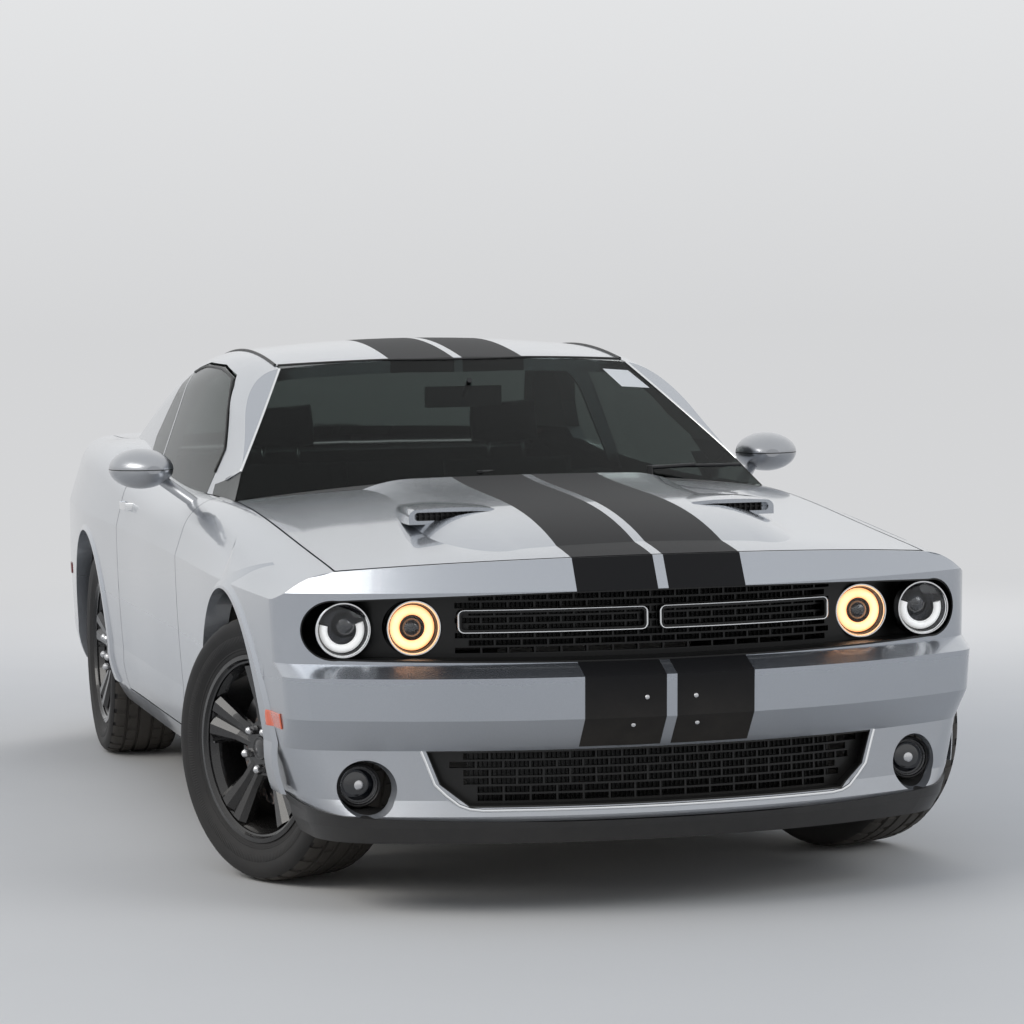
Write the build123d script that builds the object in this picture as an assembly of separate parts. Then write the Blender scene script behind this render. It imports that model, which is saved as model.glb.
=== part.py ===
"""A two-door muscle car coupe, built panel by panel.

The frame: +X forward, +Y to the car's left, +Z up, origin on the ground midway between the bumpers.
Every size is in millimetres. The front wheels stand steered to the left, as the car was parked.
"""
from build123d import *
from math import atan, cos, hypot, sin, sqrt
import os

os.makedirs("parts", exist_ok=True)

# Driving dimensions of the whole car
length = 5027.0
wheelbase = 2950.0
front_overhang = 985.0
track = 1610.0
nose_x = length / 2
tail_x = -length / 2
axle_front = nose_x - front_overhang
axle_rear = axle_front - wheelbase

# Wheels, brakes and steering; the offsets run outward from the wheel's middle plane
tyre_radius = 360.0
tyre_width = 245.0
rim_radius = 254.0
rim_width = 214.0
disc_radius = 165.0
disc_inner, disc_outer = 6.0, 28.0
hub_face = 54.0
spindle_radius = 22.0
kingpin_y = track / 2 - 45.0
kingpin_radius = 14.0
ball_low, ball_high = 225.0, 510.0
strut_low_y, strut_low_z = 640.0, 215.0
strut_high_y, strut_high_z = 580.0, 850.0
strut_radius = 40.0
running_gap = 0.06
seat_gap = 0.3
tyre_seam_turn = 29.0
steer_at_rest = 24.5
arch_radius = 431.0
front_house_inner = 470.0
rear_house_inner = 600.0

# Panel work
shut = 5.5
side_wall = 60.0
door_wall = 90.0
skin_wall = 30.0
pillar_wall = 42.0
glass_wall = 5.0
drip_half = 557.0
door_front = 590.0
door_rear = -700.0
door_bottom = 300.0
floor_top = 245.0
rear_floor = 455.0
rear_floor_top = 480.0
lid_pivot_x, lid_pivot_z, lid_pivot_y = -1560.0, 1060.0, 690.0
lid_pin_radius = 8.0
hood_half_front = 785.0
hood_half_rear = 800.0
nose_radius = 1600.0
side_radius = 9000.0
seam_radius = 1710.0
seam_x = 2399.0
cowl_x = 1092.0
cowl_radius = 1284.0
rear_header_x = -945.0
deck_front = -1800.0
deck_half = 742.0
lid_lip = 1046.0

# Nose and lamps
grille_x = 2340.0
lower_grille_x = 2405.0
frame_rise = 22.0
brick_length = 66.0
mesh_bar = 5.0
lamp_radius = 71.0
fog_radius = 56.0

# The body below the windows, one row for each station along the car
# x, centre height, crown half width, crown drop, shoulder tangent, crease y, crease z, low y, low z, base y, base z
BODY_ROWS = [
    (2560, 864, 800, 60, 40, 960, 795, 950, 430, 920, 240),
    (2105, 942, 790, 58, 60, 937, 802, 915, 430, 872, 232),
    (1528, 1000, 792, 60, 90, 960, 810, 950, 430, 880, 228),
    (1000, 1042, 802, 60, 90, 957, 818, 941, 430, 878, 226),
    (400, 1052, 818, 60, 86, 949, 826, 933, 430, 874, 226),
    (-300, 1066, 818, 56, 86, 947, 836, 932, 430, 874, 226),
    (-750, 1090, 812, 46, 92, 951, 843, 936, 430, 876, 228),
    (-1150, 1122, 800, 34, 98, 960, 849, 946, 430, 880, 232),
    (-1650, 1128, 800, 28, 90, 957, 856, 944, 430, 878, 240),
    (-2100, 1118, 780, 24, 80, 932, 862, 922, 440, 862, 256),
    (-2560, 1106, 750, 22, 70, 900, 868, 890, 450, 840, 280),
]

# The greenhouse, one row for each station along the car
# x, centre height, crown half width, crown drop, rail tangent, belt y, belt z
ROOF_ROWS = [
    (1200, 1330, 545, 30, 110, 870, 900),
    (274, 1388, 553, 31, 115, 853, 900),
    (-330, 1450, 560, 32, 115, 850, 900),
    (-950, 1418, 556, 34, 112, 846, 900),
    (-1400, 1340, 556, 38, 115, 842, 900),
    (-2000, 1190, 560, 42, 120, 826, 900),
]

# The windshield's and the backlight's outer faces: height, windshield x, its bow, backlight x
GLASS_ROWS = [
    (880, 1250, 170, -2280),
    (1045, 930, 176, -1862),
    (1215, 606, 166, -1436),
    (1383, 274, 160, -1018),
    (1500, 40, 156, -730),
]

# The nose and the tail, one row for each level: height, end of the centre line, side width, corner radius
NOSE_ROWS = [
    (248, 2460, 872, 215),
    (262, 2468, 880, 215),
    (300, 2445, 905, 200),
    (424, 2438, 935, 160),
    (506, 2507, 945, 120),
    (612, nose_x, 953, 112),
    (642, 2445, 955, 120),
    (821, 2450, 961, 130),
    (907, 2399, 930, 140),
    (975, 2350, 905, 150),
]
TAIL_ROWS = [
    (250, 2440, 960, 220),
    (430, 2490, 970, 190),
    (620, -tail_x, 975, 180),
    (700, -tail_x, 975, 180),
    (760, 2490, 975, 180),
    (1000, 2480, 970, 180),
    (1200, 2460, 960, 180),
]

# The hood's bulge: x, half width of its flat, half width at its foot, rise
BULGE_ROWS = [(2350, 300, 430, -9), (2105, 325, 475, 19), (1528, 330, 480, 25), (1000, 330, 480, 25)]

# A hood scoop, from its mouth back: x, half width, height of its top
SCOOP_ROWS = [(1812, 122, 1001), (1690, 116, 1006), (1525, 96, 1004)]
scoop_y = 386.0

# Wheel arch lips: the lip's rise, and the cone that trims it as half width of the car and radius about the axle
lip_rise = 8.0
lip_outer_y, lip_taper = 972.0, 1.9

# The chin spoiler, one row for each level, as for the nose; and its seam with the fascia in side view
CHIN_ROWS = [(190, 2438, 860, 215), (232, 2464, 880, 215), (262, 2474, 887, 215), (310, 2452, 914, 200)]
CHIN_SEAM = [(2600, 246), (2440, 246), (2300, 256), (2120, 282), (1955, 300), (1700, 300)]

# A wheel spoke: radius, half width, back, face, depth of the groove along its face
SPOKE_ROWS = [(40, 27, 56, 74, 3), (120, 36, 57, 82, 9), (226, 66, 66, 101, 14)]

# Lamps of the nose on the left: x, y, z, radius
HEAD_LAMPS = [(2223, 775, 727, lamp_radius), (2237, 597, 727, lamp_radius)]
FOG_LAMPS = [(2206, 738, 331, fog_radius)]

# The mirror's housing, from its flat back forward: x, y, half width, half height
MIRROR_ROWS = [(250, 1002, 93, 60), (300, 1000, 93, 60), (350, 994, 82, 51), (390, 985, 55, 33), (408, 980, 22, 12)]

# Seams and windows in side view, as x and z
NOSE_SEAM = [(1905, 553), (1980, 588), (2007, 680), (2102, 813), (2207, 872), (2207, 1200)]
FENDER = [(door_front + shut, 180), (1400, 180), (1528, 520)] + NOSE_SEAM + [(door_front + shut, 1200)]
NOSE_SIDE = [(1870, 545)] + NOSE_SEAM + [(2800, 1200), (2800, 150), (1870, 150)]
DOOR = [(door_front, door_bottom), (door_front, 1200), (door_rear, 1200), (door_rear, door_bottom)]
DOORWAY = [(door_front + shut, door_bottom - shut), (door_front + shut, 1200), (door_rear - shut, 1200),
           (door_rear - shut, door_bottom - shut)]
DOOR_GLASS = [(345, 930), (365, 1130), (119, 1305), (40, 1340), (-200, 1370), (-500, 1376), (-690, 1356), (-690, 930)]
GLASS_GAP = [(352, 930), (372, 1133), (124, 1312), (40, 1347), (-200, 1377), (-500, 1383), (-699, 1363), (-699, 930)]
QUARTER_GLASS = [(-720, 930), (-720, 1350), (-880, 1308), (-990, 1215), (-1055, 1125), (-1000, 1040), (-960, 930)]
TAIL_SEAM = [(-1750, 560), (-1900, 600), (-2120, 770), (-2440, 790), (-2700, 790)]


def mirrored(shape):
    return shape.mirror(Plane.XZ)


def both_sides(shape):
    return [shape, mirrored(shape)]


def solid_of(shape):
    """The one solid that a cut leaves, without the wrapping that a boolean gives."""
    return max(shape.solids(), key=lambda s: s.volume)


def group(shapes):
    """Like pieces of one node, as separate solids."""
    flat = [s for shape in shapes for s in shape.solids()]
    return flat[0] if len(flat) == 1 else Compound(flat)


def fused(shapes):
    return solid_of(shapes[0].fuse(*shapes[1:]))


def block(x0, x1, y0, y1, z0, z1):
    """A box between two values on each axis, given in either order."""
    (x0, x1), (y0, y1), (z0, z1) = sorted((x0, x1)), sorted((y0, y1)), sorted((z0, z1))
    return Solid.make_box(x1 - x0, y1 - y0, z1 - z0).moved(Location((x0, y0, z0)))


def prism(points, way):
    """A flat outline of 3-D points pushed along a vector."""
    return Solid.extrude(Face(Wire.make_polygon([Vector(*p) for p in points], close=True)), Vector(*way))


def side_prism(points, y0, y1):
    return prism([(x, y0, z) for x, z in points], (0, y1 - y0, 0))


def plan_prism(points, z0, z1):
    return prism([(x, y, z0) for x, y in points], (0, 0, z1 - z0))


def front_prism(points, x0, x1):
    return prism([(x0, y, z) for y, z in points], (x1 - x0, 0, 0))


def rod(a, b, radius):
    a, b = Vector(*a), Vector(*b)
    return Solid.make_cylinder(radius, (b - a).length, Plane(origin=a, z_dir=b - a))


def drum(x, z, radius, y0, y1):
    """A cylinder across the car."""
    y0, y1 = sorted((y0, y1))
    return Solid.make_cylinder(radius, y1 - y0, Plane(origin=(x, y0, z), z_dir=(0, 1, 0)))


def drum_x(x0, x1, y, z, radius):
    """A cylinder along the car."""
    return Solid.make_cylinder(radius, x1 - x0, Plane(origin=(x0, y, z), z_dir=(1, 0, 0)))


def post(x, y, radius, z0, z1):
    return Solid.make_cylinder(radius, z1 - z0, Plane(origin=(x, y, z0)))


def ball(x, y, z, radius):
    return Solid.make_sphere(radius, angle1=-90).moved(Location((x, y, z)))


def turned(profile):
    """A profile of radius and Y, turned about Y."""
    return Solid.revolve(Face(Wire.make_polygon([Vector(r, y, 0) for r, y in profile], close=True)), 360, Axis.Y)


def outline(edges):
    """A closed wire: a straight line for each two points, an arc for each three."""
    runs = [[Vector(*p) for p in edge] for edge in edges]
    return Wire([Line(*run) if len(run) == 2 else ThreePointArc(*run) for run in runs])


def shoulder(start, way, tangent, target):
    """The round corner that leaves start along way and turns towards target, as its middle and end points."""
    knee = (start[0] + way[0] * tangent, start[1] + way[1] * tangent)
    reach = hypot(target[0] - knee[0], target[1] - knee[1])
    out = ((target[0] - knee[0]) / reach, (target[1] - knee[1]) / reach)
    end = (knee[0] + out[0] * tangent, knee[1] + out[1] * tangent)
    bend = (out[0] - way[0], out[1] - way[1])
    half_sine = hypot(*bend) / 2
    radius = tangent * sqrt(1 - half_sine ** 2) / half_sine
    rise = (hypot(radius, tangent) - radius) / (2 * half_sine)
    return (knee[0] + bend[0] * rise, knee[1] + bend[1] * rise), end


def section(x, right, top):
    """A closed outline across the car, from its right-hand edges and the height of its crown."""
    left = [[(-y, z) for y, z in reversed(edge)] for edge in reversed(right)]
    crown = [right[-1][-1], (0, top), left[0][0]]
    floor = [left[-1][-1], right[0][0]]
    return outline([[(x, y, z) for y, z in edge] for edge in right + [crown] + left + [floor]])


def body_wire(row, inset, drop):
    x, top, half, crown, tangent, crease_y, crease_z, low_y, low_z, base_y, base_z = row
    top, half, crease_y, low_y, base_y = top - drop, half - inset, crease_y - inset, low_y - inset, base_y - inset
    edge = (half, top - crown)
    slope = 2 * atan(crown / half)
    middle, end = shoulder(edge, (cos(slope), -sin(slope)), tangent, (crease_y, crease_z))
    base, low, crease = (base_y, base_z), (low_y, low_z), (crease_y, crease_z)
    tuck = ((low_y + base_y) / 2 + 17, (low_z + base_z) / 2 - 8)
    flank = ((crease_y + low_y) / 2 + 4, (crease_z + low_z) / 2)
    return section(x, [[base, tuck, low], [low, flank, crease], [crease, end], [end, middle, edge]], top)


def body(inset=0.0, drop=0.0, low=0.0):
    """The body below the windows, taken in at the sides by inset and at the top by drop."""
    rows = [row[:-1] + (row[-1] - low,) for row in BODY_ROWS]
    return Solid.make_loft([body_wire(row, inset, drop) for row in rows])


def roof_wire(row, inset):
    x, top, half, crown, tangent, belt_y, belt_z = row
    top, half, belt_y = top - inset, half - inset, belt_y - inset
    edge = (half, top - crown)
    slope = 2 * atan(crown / half)
    middle, end = shoulder(edge, (cos(slope), -sin(slope)), tangent, (belt_y, belt_z))
    return section(x, [[(belt_y, belt_z), end], [end, middle, edge]], top)


def glass_wire(row, inset):
    """One level of the space between the windshield and the backlight, seen from above."""
    z, front, bow, back = row
    front, back = front - inset * 1.9, back + inset * 2.5
    front_side, back_side = front - bow * 1.9, back + 110
    return outline([[(back_side, -1000, z), (front_side, -1000, z)],
                    [(front_side, -1000, z), (front, 0, z), (front_side, 1000, z)],
                    [(front_side, 1000, z), (back_side, 1000, z)],
                    [(back_side, 1000, z), (back, 0, z), (back_side, -1000, z)]])


def greenhouse(inset=0.0):
    """The roof, pillars and glass as one block, taken in by inset."""
    along = Solid.make_loft([roof_wire(row, inset) for row in ROOF_ROWS])
    return solid_of(along & Solid.make_loft([glass_wire(row, inset) for row in GLASS_ROWS]))


def oval(z, end, width, corner, inset=0.0):
    """One level of the nose: a front arc, two corner arcs and two long side arcs, closed behind."""
    end, width, corner = end - inset, width - inset, corner - inset * 0.6
    front_x, side_y, base_x = end - nose_radius, width - side_radius, 1450.0
    a, b = nose_radius - corner, side_radius - corner
    dx, dy = base_x - front_x, side_y
    span = hypot(dx, dy)
    along = (a * a - b * b + span * span) / (2 * span)
    off = sqrt(a * a - along * along)
    centre = max(((front_x + along * dx / span - s * off * dy / span, along * dy / span + s * off * dx / span)
                  for s in (-1, 1)), key=lambda c: c[1])

    def reach(origin, towards, radius):
        k = radius / hypot(towards[0] - origin[0], towards[1] - origin[1])
        return origin[0] + (towards[0] - origin[0]) * k, origin[1] + (towards[1] - origin[1]) * k

    front = reach((front_x, 0), centre, nose_radius)
    side = reach((base_x, side_y), centre, side_radius)
    middle = reach(centre, ((front[0] + side[0]) / 2, (front[1] + side[1]) / 2), corner)
    rear = (base_x, width)
    flank_x = 1700.0
    flank = (flank_x, side_y + sqrt(side_radius ** 2 - (flank_x - base_x) ** 2))
    right = [[rear, flank, side], [side, middle, front]]
    left = [[(x, -y) for x, y in reversed(edge)] for edge in reversed(right)]
    edges = right + [[front, (end, 0), (front[0], -front[1])]] + left + [[(base_x, -width), rear]]
    return outline([[(x, y, z) for x, y in edge] for edge in edges])


def levels(rows, inset=0.0, low=0.0):
    """The nose or the tail as one block, its creases running round the corners."""
    rows = [(rows[0][0] - low,) + rows[0][1:]] + rows[1:]
    return Solid.make_loft([oval(*row, inset) for row in rows], ruled=True)


def tail(inset=0.0, low=0.0):
    return levels(TAIL_ROWS, inset, low).mirror(Plane.YZ)


def rounded_tail(shape, end):
    """The body with its square rear end taken down to the tail's shape."""
    return solid_of(shape - (block(-3000, -1456, -1100, 1100, 0, 1300) - end))


def plan_arc(centre_x, radius, half, z0, z1, back):
    """A slab seen from above: one edge is an arc through centre_x, the other a straight line at back."""
    side_x = centre_x - radius + sqrt(radius ** 2 - half ** 2)
    wire = outline([[(side_x, -half, z0), (centre_x, 0, z0), (side_x, half, z0)],
                    [(side_x, half, z0), (back, half, z0)], [(back, half, z0), (back, -half, z0)],
                    [(back, -half, z0), (side_x, -half, z0)]])
    return Solid.extrude(Face(wire), Vector(0, 0, z1 - z0))


def behind_seam(offset=0.0):
    """Everything behind the arc where the hood meets the nose."""
    return plan_arc(seam_x + offset, seam_radius, 1200, 700, 1200, -3000)


def behind_cowl(offset=0.0, low=700):
    """Everything behind the arc of the hood's rear edge."""
    return plan_arc(cowl_x + offset, cowl_radius, 1100, low, 1200, -3000)


def hood_plan(grow=0.0):
    sides = [(2500, hood_half_front + grow), (2207, hood_half_front + grow), (812, hood_half_rear + grow),
             (400, hood_half_rear + grow)]
    return plan_prism(sides + [(x, -y) for x, y in reversed(sides)], 700, 1200)


outer = rounded_tail(body(), tail())
inner = rounded_tail(body(side_wall, skin_wall, 100), tail(skin_wall, 100))
upper = greenhouse()
cabin = greenhouse(pillar_wall)
thin = outer - inner
sheet = upper - greenhouse(glass_wall)
arches = group([drum(x, tyre_radius, arch_radius, s * front_house_inner, s * 1200)
                for x in (axle_front, axle_rear) for s in (-1, 1)])


def arch_lips():
    """The raised lips round the four wheel openings, wide where the flank tucks in and fine at the top."""
    skin = body(-lip_rise, 0) - body(2, 0)
    lips = []
    for x in (axle_front, axle_rear):
        wide, narrow = arch_radius + (lip_outer_y - 880) * lip_taper, arch_radius
        cone = Solid.make_cone(wide, narrow, lip_outer_y - 880, Plane(origin=(x, 880, tyre_radius), z_dir=(0, 1, 0)))
        ring = cone - drum(x, tyre_radius, arch_radius, 800, 1100) - block(x - 800, x + 800, 800, 1100, 0, 300)
        lips += both_sides(solid_of(skin & ring))
    return group(lips)


def with_lips(panel, region):
    """A panel with its share of the wheel arch lips."""
    shares = [s for s in (lips & region).solids() if s.distance_to(panel) < 0.5]
    return fused([panel] + shares) if shares else panel


lips = arch_lips()


def fender_left():
    shape = solid_of((thin & side_prism(FENDER, 200, 1100)) - hood_plan(shut) - arches)
    return with_lips(shape, side_prism(FENDER, 200, 1100))


def crown_z(x, y):
    """The height of the hood's plain crown at a station of the body."""
    rows = sorted(BODY_ROWS, key=lambda row: abs(row[0] - x))[:2]
    (x0, top0, half, crown), (x1, top1) = rows[0][:4], rows[1][:2]
    radius = (half ** 2 + crown ** 2) / (2 * crown)
    return top0 + (top1 - top0) * (x - x0) / (x1 - x0) - radius + sqrt(radius ** 2 - y ** 2)


def bulge_wire(x, flat, foot, rise):
    top, low = crown_z(x, flat) + rise, crown_z(x, foot) - 6 + min(rise, 0)
    side = [(foot, low), ((flat + foot) / 2 + 2, (top + low) / 2 + 8), (flat, top)]
    crown = [(flat, top), (0, crown_z(x, 0) + rise), (-flat, top)]
    left = [(-y, z) for y, z in reversed(side)]
    return outline([[(x, y, z) for y, z in edge] for edge in (side, crown, left, [(-foot, low), (foot, low)])])


def scoop_wire(x, half, top):
    right = [(half, 962), (half, top - 18)]
    corner = [(half, top - 18), (half - 6, top - 6), (half - 22, top)]
    crown = [(half - 22, top), (0, top + 4), (22 - half, top)]
    left = [[(-y, z) for y, z in reversed(edge)] for edge in (corner, right)]
    edges = [right, corner, crown] + left + [[(-half, 962), (half, 962)]]
    return outline([[(x, scoop_y + y, z) for y, z in edge] for edge in edges])


def scoop_mouth(depth):
    """The scoop's pocket, rounded at its ends."""
    return group([block(1812 - depth, 1840, scoop_y - 96, scoop_y + 96, 972, 994)]
                 + [drum_x(1812 - depth, 1840, scoop_y + s * 96, 983, 11) for s in (-1, 1)])


def hood():
    """The lid with its bulge and scoops; its front face leans back so that it lifts clear of the nose."""
    lean = front_lean(seam_x - shut)
    shape = solid_of(thin & hood_plan() & lean)
    bulge = Solid.make_loft([bulge_wire(*row) for row in BULGE_ROWS]) & lean
    scoop = Solid.make_loft([scoop_wire(*row) for row in SCOOP_ROWS])
    shape = fused([shape, solid_of(bulge)] + both_sides(scoop)) - behind_cowl()
    windshield_foot = greenhouse(-1) & block(700, 1000, -900, 900, 900, 1100)
    for cut in both_sides(scoop_mouth(34)) + [windshield_foot]:
        shape = shape - cut
    return solid_of(shape)


def scoop_vent_left():
    """The slatted insert at the back of a scoop's mouth."""
    fins = [block(1786, 1800, scoop_y + y - 1.5, scoop_y + y + 1.5, 972, 994) for y in range(-90, 91, 15)]
    fins.append(block(1786, 1796, scoop_y - 96, scoop_y + 96, 981.5, 984.5))
    return fused([solid_of(scoop_mouth(34) & block(1700, 1786, 0, 900, 900, 1100))] + fins)


def front_lean(x):
    rows = [(700, x - 58), (1200, x + 80)]
    sag = seam_radius - sqrt(seam_radius ** 2 - 1200 ** 2)
    return Solid.make_loft([outline([
        [(a - sag, -1200, z), (a, 0, z), (a - sag, 1200, z)], [(a - sag, 1200, z), (-100, 1200, z)],
        [(-100, 1200, z), (-100, -1200, z)], [(-100, -1200, z), (a - sag, -1200, z)]]) for z, a in rows], ruled=True)


def chin_space(rise=0.0):
    """Everything below the seam between the fascia and the chin spoiler."""
    return side_prism([(x, z + rise) for x, z in CHIN_SEAM] + [(1700, 100), (2600, 100)], -1100, 1100)


def front_fascia():
    shell = (levels(NOSE_ROWS) & outer) - (levels(NOSE_ROWS, skin_wall, 100) & body(0, skin_wall, 100))
    shell = (shell & side_prism(NOSE_SIDE, -1100, 1100)) - (behind_seam() & hood_plan(shut)) - arches
    shell = shell - grille_slot() - intake_slot() - chin_space()
    for x, y, z, radius in FOG_LAMPS:
        for s in (-1, 1):
            shell = shell - rod((x - 200, s * y, z), (x + 200, s * y, z), radius)
            shell = shell - Solid.make_cone(radius, radius + 44, 200, Plane(origin=(x - 6, s * y, z), z_dir=(1, 0, 0)))
    return with_lips(solid_of(shell), side_prism(NOSE_SIDE, -1100, 1100))


def grille_slot(inset=0.0):
    """The grille's opening in front view, pushed back through the nose."""
    y, top, top_side = 790.0, 821 - inset, 803 - inset
    bottom, bottom_side, end = 642 + inset, 651 + inset, 877 - inset
    middle = (top_side + bottom_side) / 2
    edges = [[(-y, bottom_side), (0, bottom), (y, bottom_side)], [(y, bottom_side), (end, middle), (y, top_side)],
             [(y, top_side), (0, top), (-y, top_side)], [(-y, top_side), (-end, middle), (-y, bottom_side)]]
    return Solid.extrude(Face(outline([[(2050, a, b) for a, b in edge] for edge in edges])), Vector(650, 0, 0))


def intake_slot(inset=0.0):
    top, bottom = 424 - inset, 283 + inset
    corners = [(590 - inset, top), (560 - inset, 340), (490, bottom)]
    return front_prism(corners + [(-y, z) for y, z in reversed(corners)], 2100, 2700)


def nose_slab(front, thickness, half, z0, z1):
    """A panel that follows the nose's curve behind the skin."""
    return solid_of(plan_arc(front, nose_radius, half, z0, z1, 1900)
                    - plan_arc(front - thickness, nose_radius - thickness, half, z0 - 1, z1 + 1, 1800))


def recess(slot, inner_slot, depth):
    """The wall that lines an opening of the nose, from just inside its skin to depth."""
    return (levels(NOSE_ROWS, 3) & slot) - inner_slot - levels(NOSE_ROWS, depth)


def brick_holes(half_low, half_high, z0, z1, rows):
    """The openings of a brick mesh, each row shifted by half a brick."""
    pitch = (z1 - z0) / rows
    holes = []
    for row in range(rows):
        z = z0 + row * pitch
        half = half_low + (half_high - half_low) * (row + 0.5) / rows
        count = int(2 * half // brick_length)
        shift = brick_length / 2 if row % 2 else 0.0
        for k in range(count):
            y0 = (k - count / 2) * brick_length + shift
            y1 = min(y0 + brick_length - mesh_bar, half)
            if y1 - y0 > 15:
                holes.append(block(1900, 2700, y0, y1, z + mesh_bar / 2, z + pitch - mesh_bar / 2))
    return holes


def rounded_frame(y0, y1, z0, z1, radius):
    """A rounded rectangle in front view, pushed back through the nose."""
    c, q = radius, radius * 0.293
    sides = [[(y0 + c, z0), (y1 - c, z0)], [(y1 - c, z0), (y1 - q, z0 + q), (y1, z0 + c)], [(y1, z0 + c), (y1, z1 - c)],
             [(y1, z1 - c), (y1 - q, z1 - q), (y1 - c, z1)], [(y1 - c, z1), (y0 + c, z1)],
             [(y0 + c, z1), (y0 + q, z1 - q), (y0, z1 - c)], [(y0, z1 - c), (y0, z0 + c)],
             [(y0, z0 + c), (y0 + q, z0 + q), (y0 + c, z0)]]
    return Solid.extrude(Face(outline([[(2100, y, z) for y, z in edge] for edge in sides])), Vector(600, 0, 0))


def grille_frame_left():
    """One of the two long frames that stand proud of the upper mesh."""
    ring = rounded_frame(16, 492, 712, 772, 15) - rounded_frame(25, 483, 721, 763, 8)
    return solid_of(nose_slab(grille_x + frame_rise, frame_rise + 6, 868, 600, 860) & ring)


def upper_grille():
    """The brick mesh with its two frames, pierced for the lamps, and the wall that lines the opening."""
    panel = solid_of(nose_slab(grille_x, 16, 868, 600, 860) & grille_slot(4 + seat_gap))
    lamps = [rod((x - 300, s * y, z), (x + 300, s * y, z), radius + seat_gap)
             for x, y, z, radius in HEAD_LAMPS for s in (-1, 1)]
    panel = solid_of(panel.cut(*lamps, *brick_holes(500, 505, 658, 810, 8)))
    return [fused([panel] + both_sides(grille_frame_left())), solid_of(recess(grille_slot(), grille_slot(4), 126))]


def lower_grille():
    panel = solid_of(nose_slab(lower_grille_x, 14, 700, 260, 450) & intake_slot(4 + seat_gap))
    panel = solid_of(panel.cut(*brick_holes(480, 566, 291, 417, 6)))
    return [panel, solid_of(recess(intake_slot(), intake_slot(4), 62))]


def lamp(radius, depth):
    """A lamp facing +X, its face at the origin: a bezel, a dished reflector, a light ring and a round lens."""
    front, dish_x = Plane(origin=(-depth, 0, 0), z_dir=(1, 0, 0)), -depth * 0.45
    can = Solid.make_cylinder(radius, depth, front)
    dish = Solid.make_cone(radius * 0.5, radius * 0.92, -dish_x, Plane(origin=(dish_x, 0, 0), z_dir=(1, 0, 0)))
    halo = Solid.make_torus(radius * 0.73, radius * 0.09, Plane(origin=(dish_x * 0.5, 0, 0), z_dir=(1, 0, 0)))
    return fused([solid_of(can - dish), ball(dish_x, 0, 0, radius * 0.42), halo])


def front_lamps():
    lamps = []
    for x, y, z, radius in HEAD_LAMPS:
        lamps += both_sides(lamp(radius, 90 if y > 700 else 50).moved(Location((x + 8, y, z))))
    for x, y, z, radius in FOG_LAMPS:
        lamps += both_sides(lamp(radius, 40).moved(Location((x, y, z))))
    return group(lamps)


def chin_spoiler():
    """A lip under the fascia that rises round the corners to the wheel openings."""
    blade = levels(CHIN_ROWS) - levels(NOSE_ROWS, 110, 100)
    return solid_of((blade & chin_space()) - arches - block(1000, 1960, -1100, 1100, 0, 400))


def door_left():
    """The whole door; its rear face leans, and its top ends outside the pillar's foot, so that it swings clear."""
    lean = plan_prism([(door_rear - 1, 1100), (door_rear - 1, 700), (door_rear + 16, 700), (door_rear, 950)], 200, 1200)
    pillar_foot = greenhouse(-6) & block(335, 700, 0, 1100, 850, 1200)
    thick = outer - body(door_wall, skin_wall, 100)
    panel = solid_of((thick & side_prism(DOOR, 500, 1100)) - greenhouse(2 * glass_wall) - pillar_foot - lean)
    return fused([panel, door_handle_left()])


def door_handle_left():
    """A bowed pull strap on the door's shoulder."""
    front = [(-634, 895), (-650, 895), (-630, 944), (-555, 948)]
    back = [(-555, 936), (-620, 932), (-634, 895)]
    half = front + back[:-1]
    other = [(-1110 - x, y) for x, y in reversed(half)]
    return plan_prism(half[:4] + other[2:] + half[4:], 906, 927)


def door_glass_left():
    return solid_of((sheet & side_prism(DOOR_GLASS, 400, 1000)) - outer)


def mirror_left():
    """A bulged housing with a flat back for the glass, on a slanted stalk."""
    housing = Solid.make_loft([
        Wire.make_ellipse(half_y, half_z, Plane(origin=(x, y, 1070), x_dir=(0, 1, 0), z_dir=(1, 0, 0)))
        for x, y, half_y, half_z in MIRROR_ROWS])
    stalk = rod((440, 845, 955), (310, 955, 1045), 17)
    return fused([housing, solid_of(stalk - outer)])


def windshield_gap():
    """The windshield's opening, as its front view and its side view leave it."""
    corners = [(815, 990), (799, 1021), (553, 1367), (553, 1500)]
    face = front_prism(corners + [(-y, z) for y, z in reversed(corners)], 50, 1400)
    return solid_of(face & side_prism([(540, 900), (60, 1400), (60, 1600), (1500, 1600), (1500, 900)], -1000, 1000))


def backlight_gap():
    corners = [(560, 1600), (560, 1350), (640, 1210), (690, 1000)]
    return front_prism(corners + [(-y, z) for y, z in reversed(corners)], rear_header_x, -2300)


def behind_header():
    return plan_arc(274, 1420, 1000, 900, 1600, -3000)


def windshield():
    return solid_of((sheet & windshield_gap()) - behind_header() - outer)


def backlight():
    return solid_of((sheet & backlight_gap()) - outer)


def quarter_glass_left():
    return solid_of((sheet & side_prism(QUARTER_GLASS, 400, 1100)) - outer)


def fixed_glass():
    return group([windshield(), backlight()] + both_sides(quarter_glass_left()))


def roof():
    middle = block(rear_header_x, 3000, -drip_half, drip_half, 900, 1600)
    return solid_of((upper - cabin) & middle & behind_header())


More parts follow.
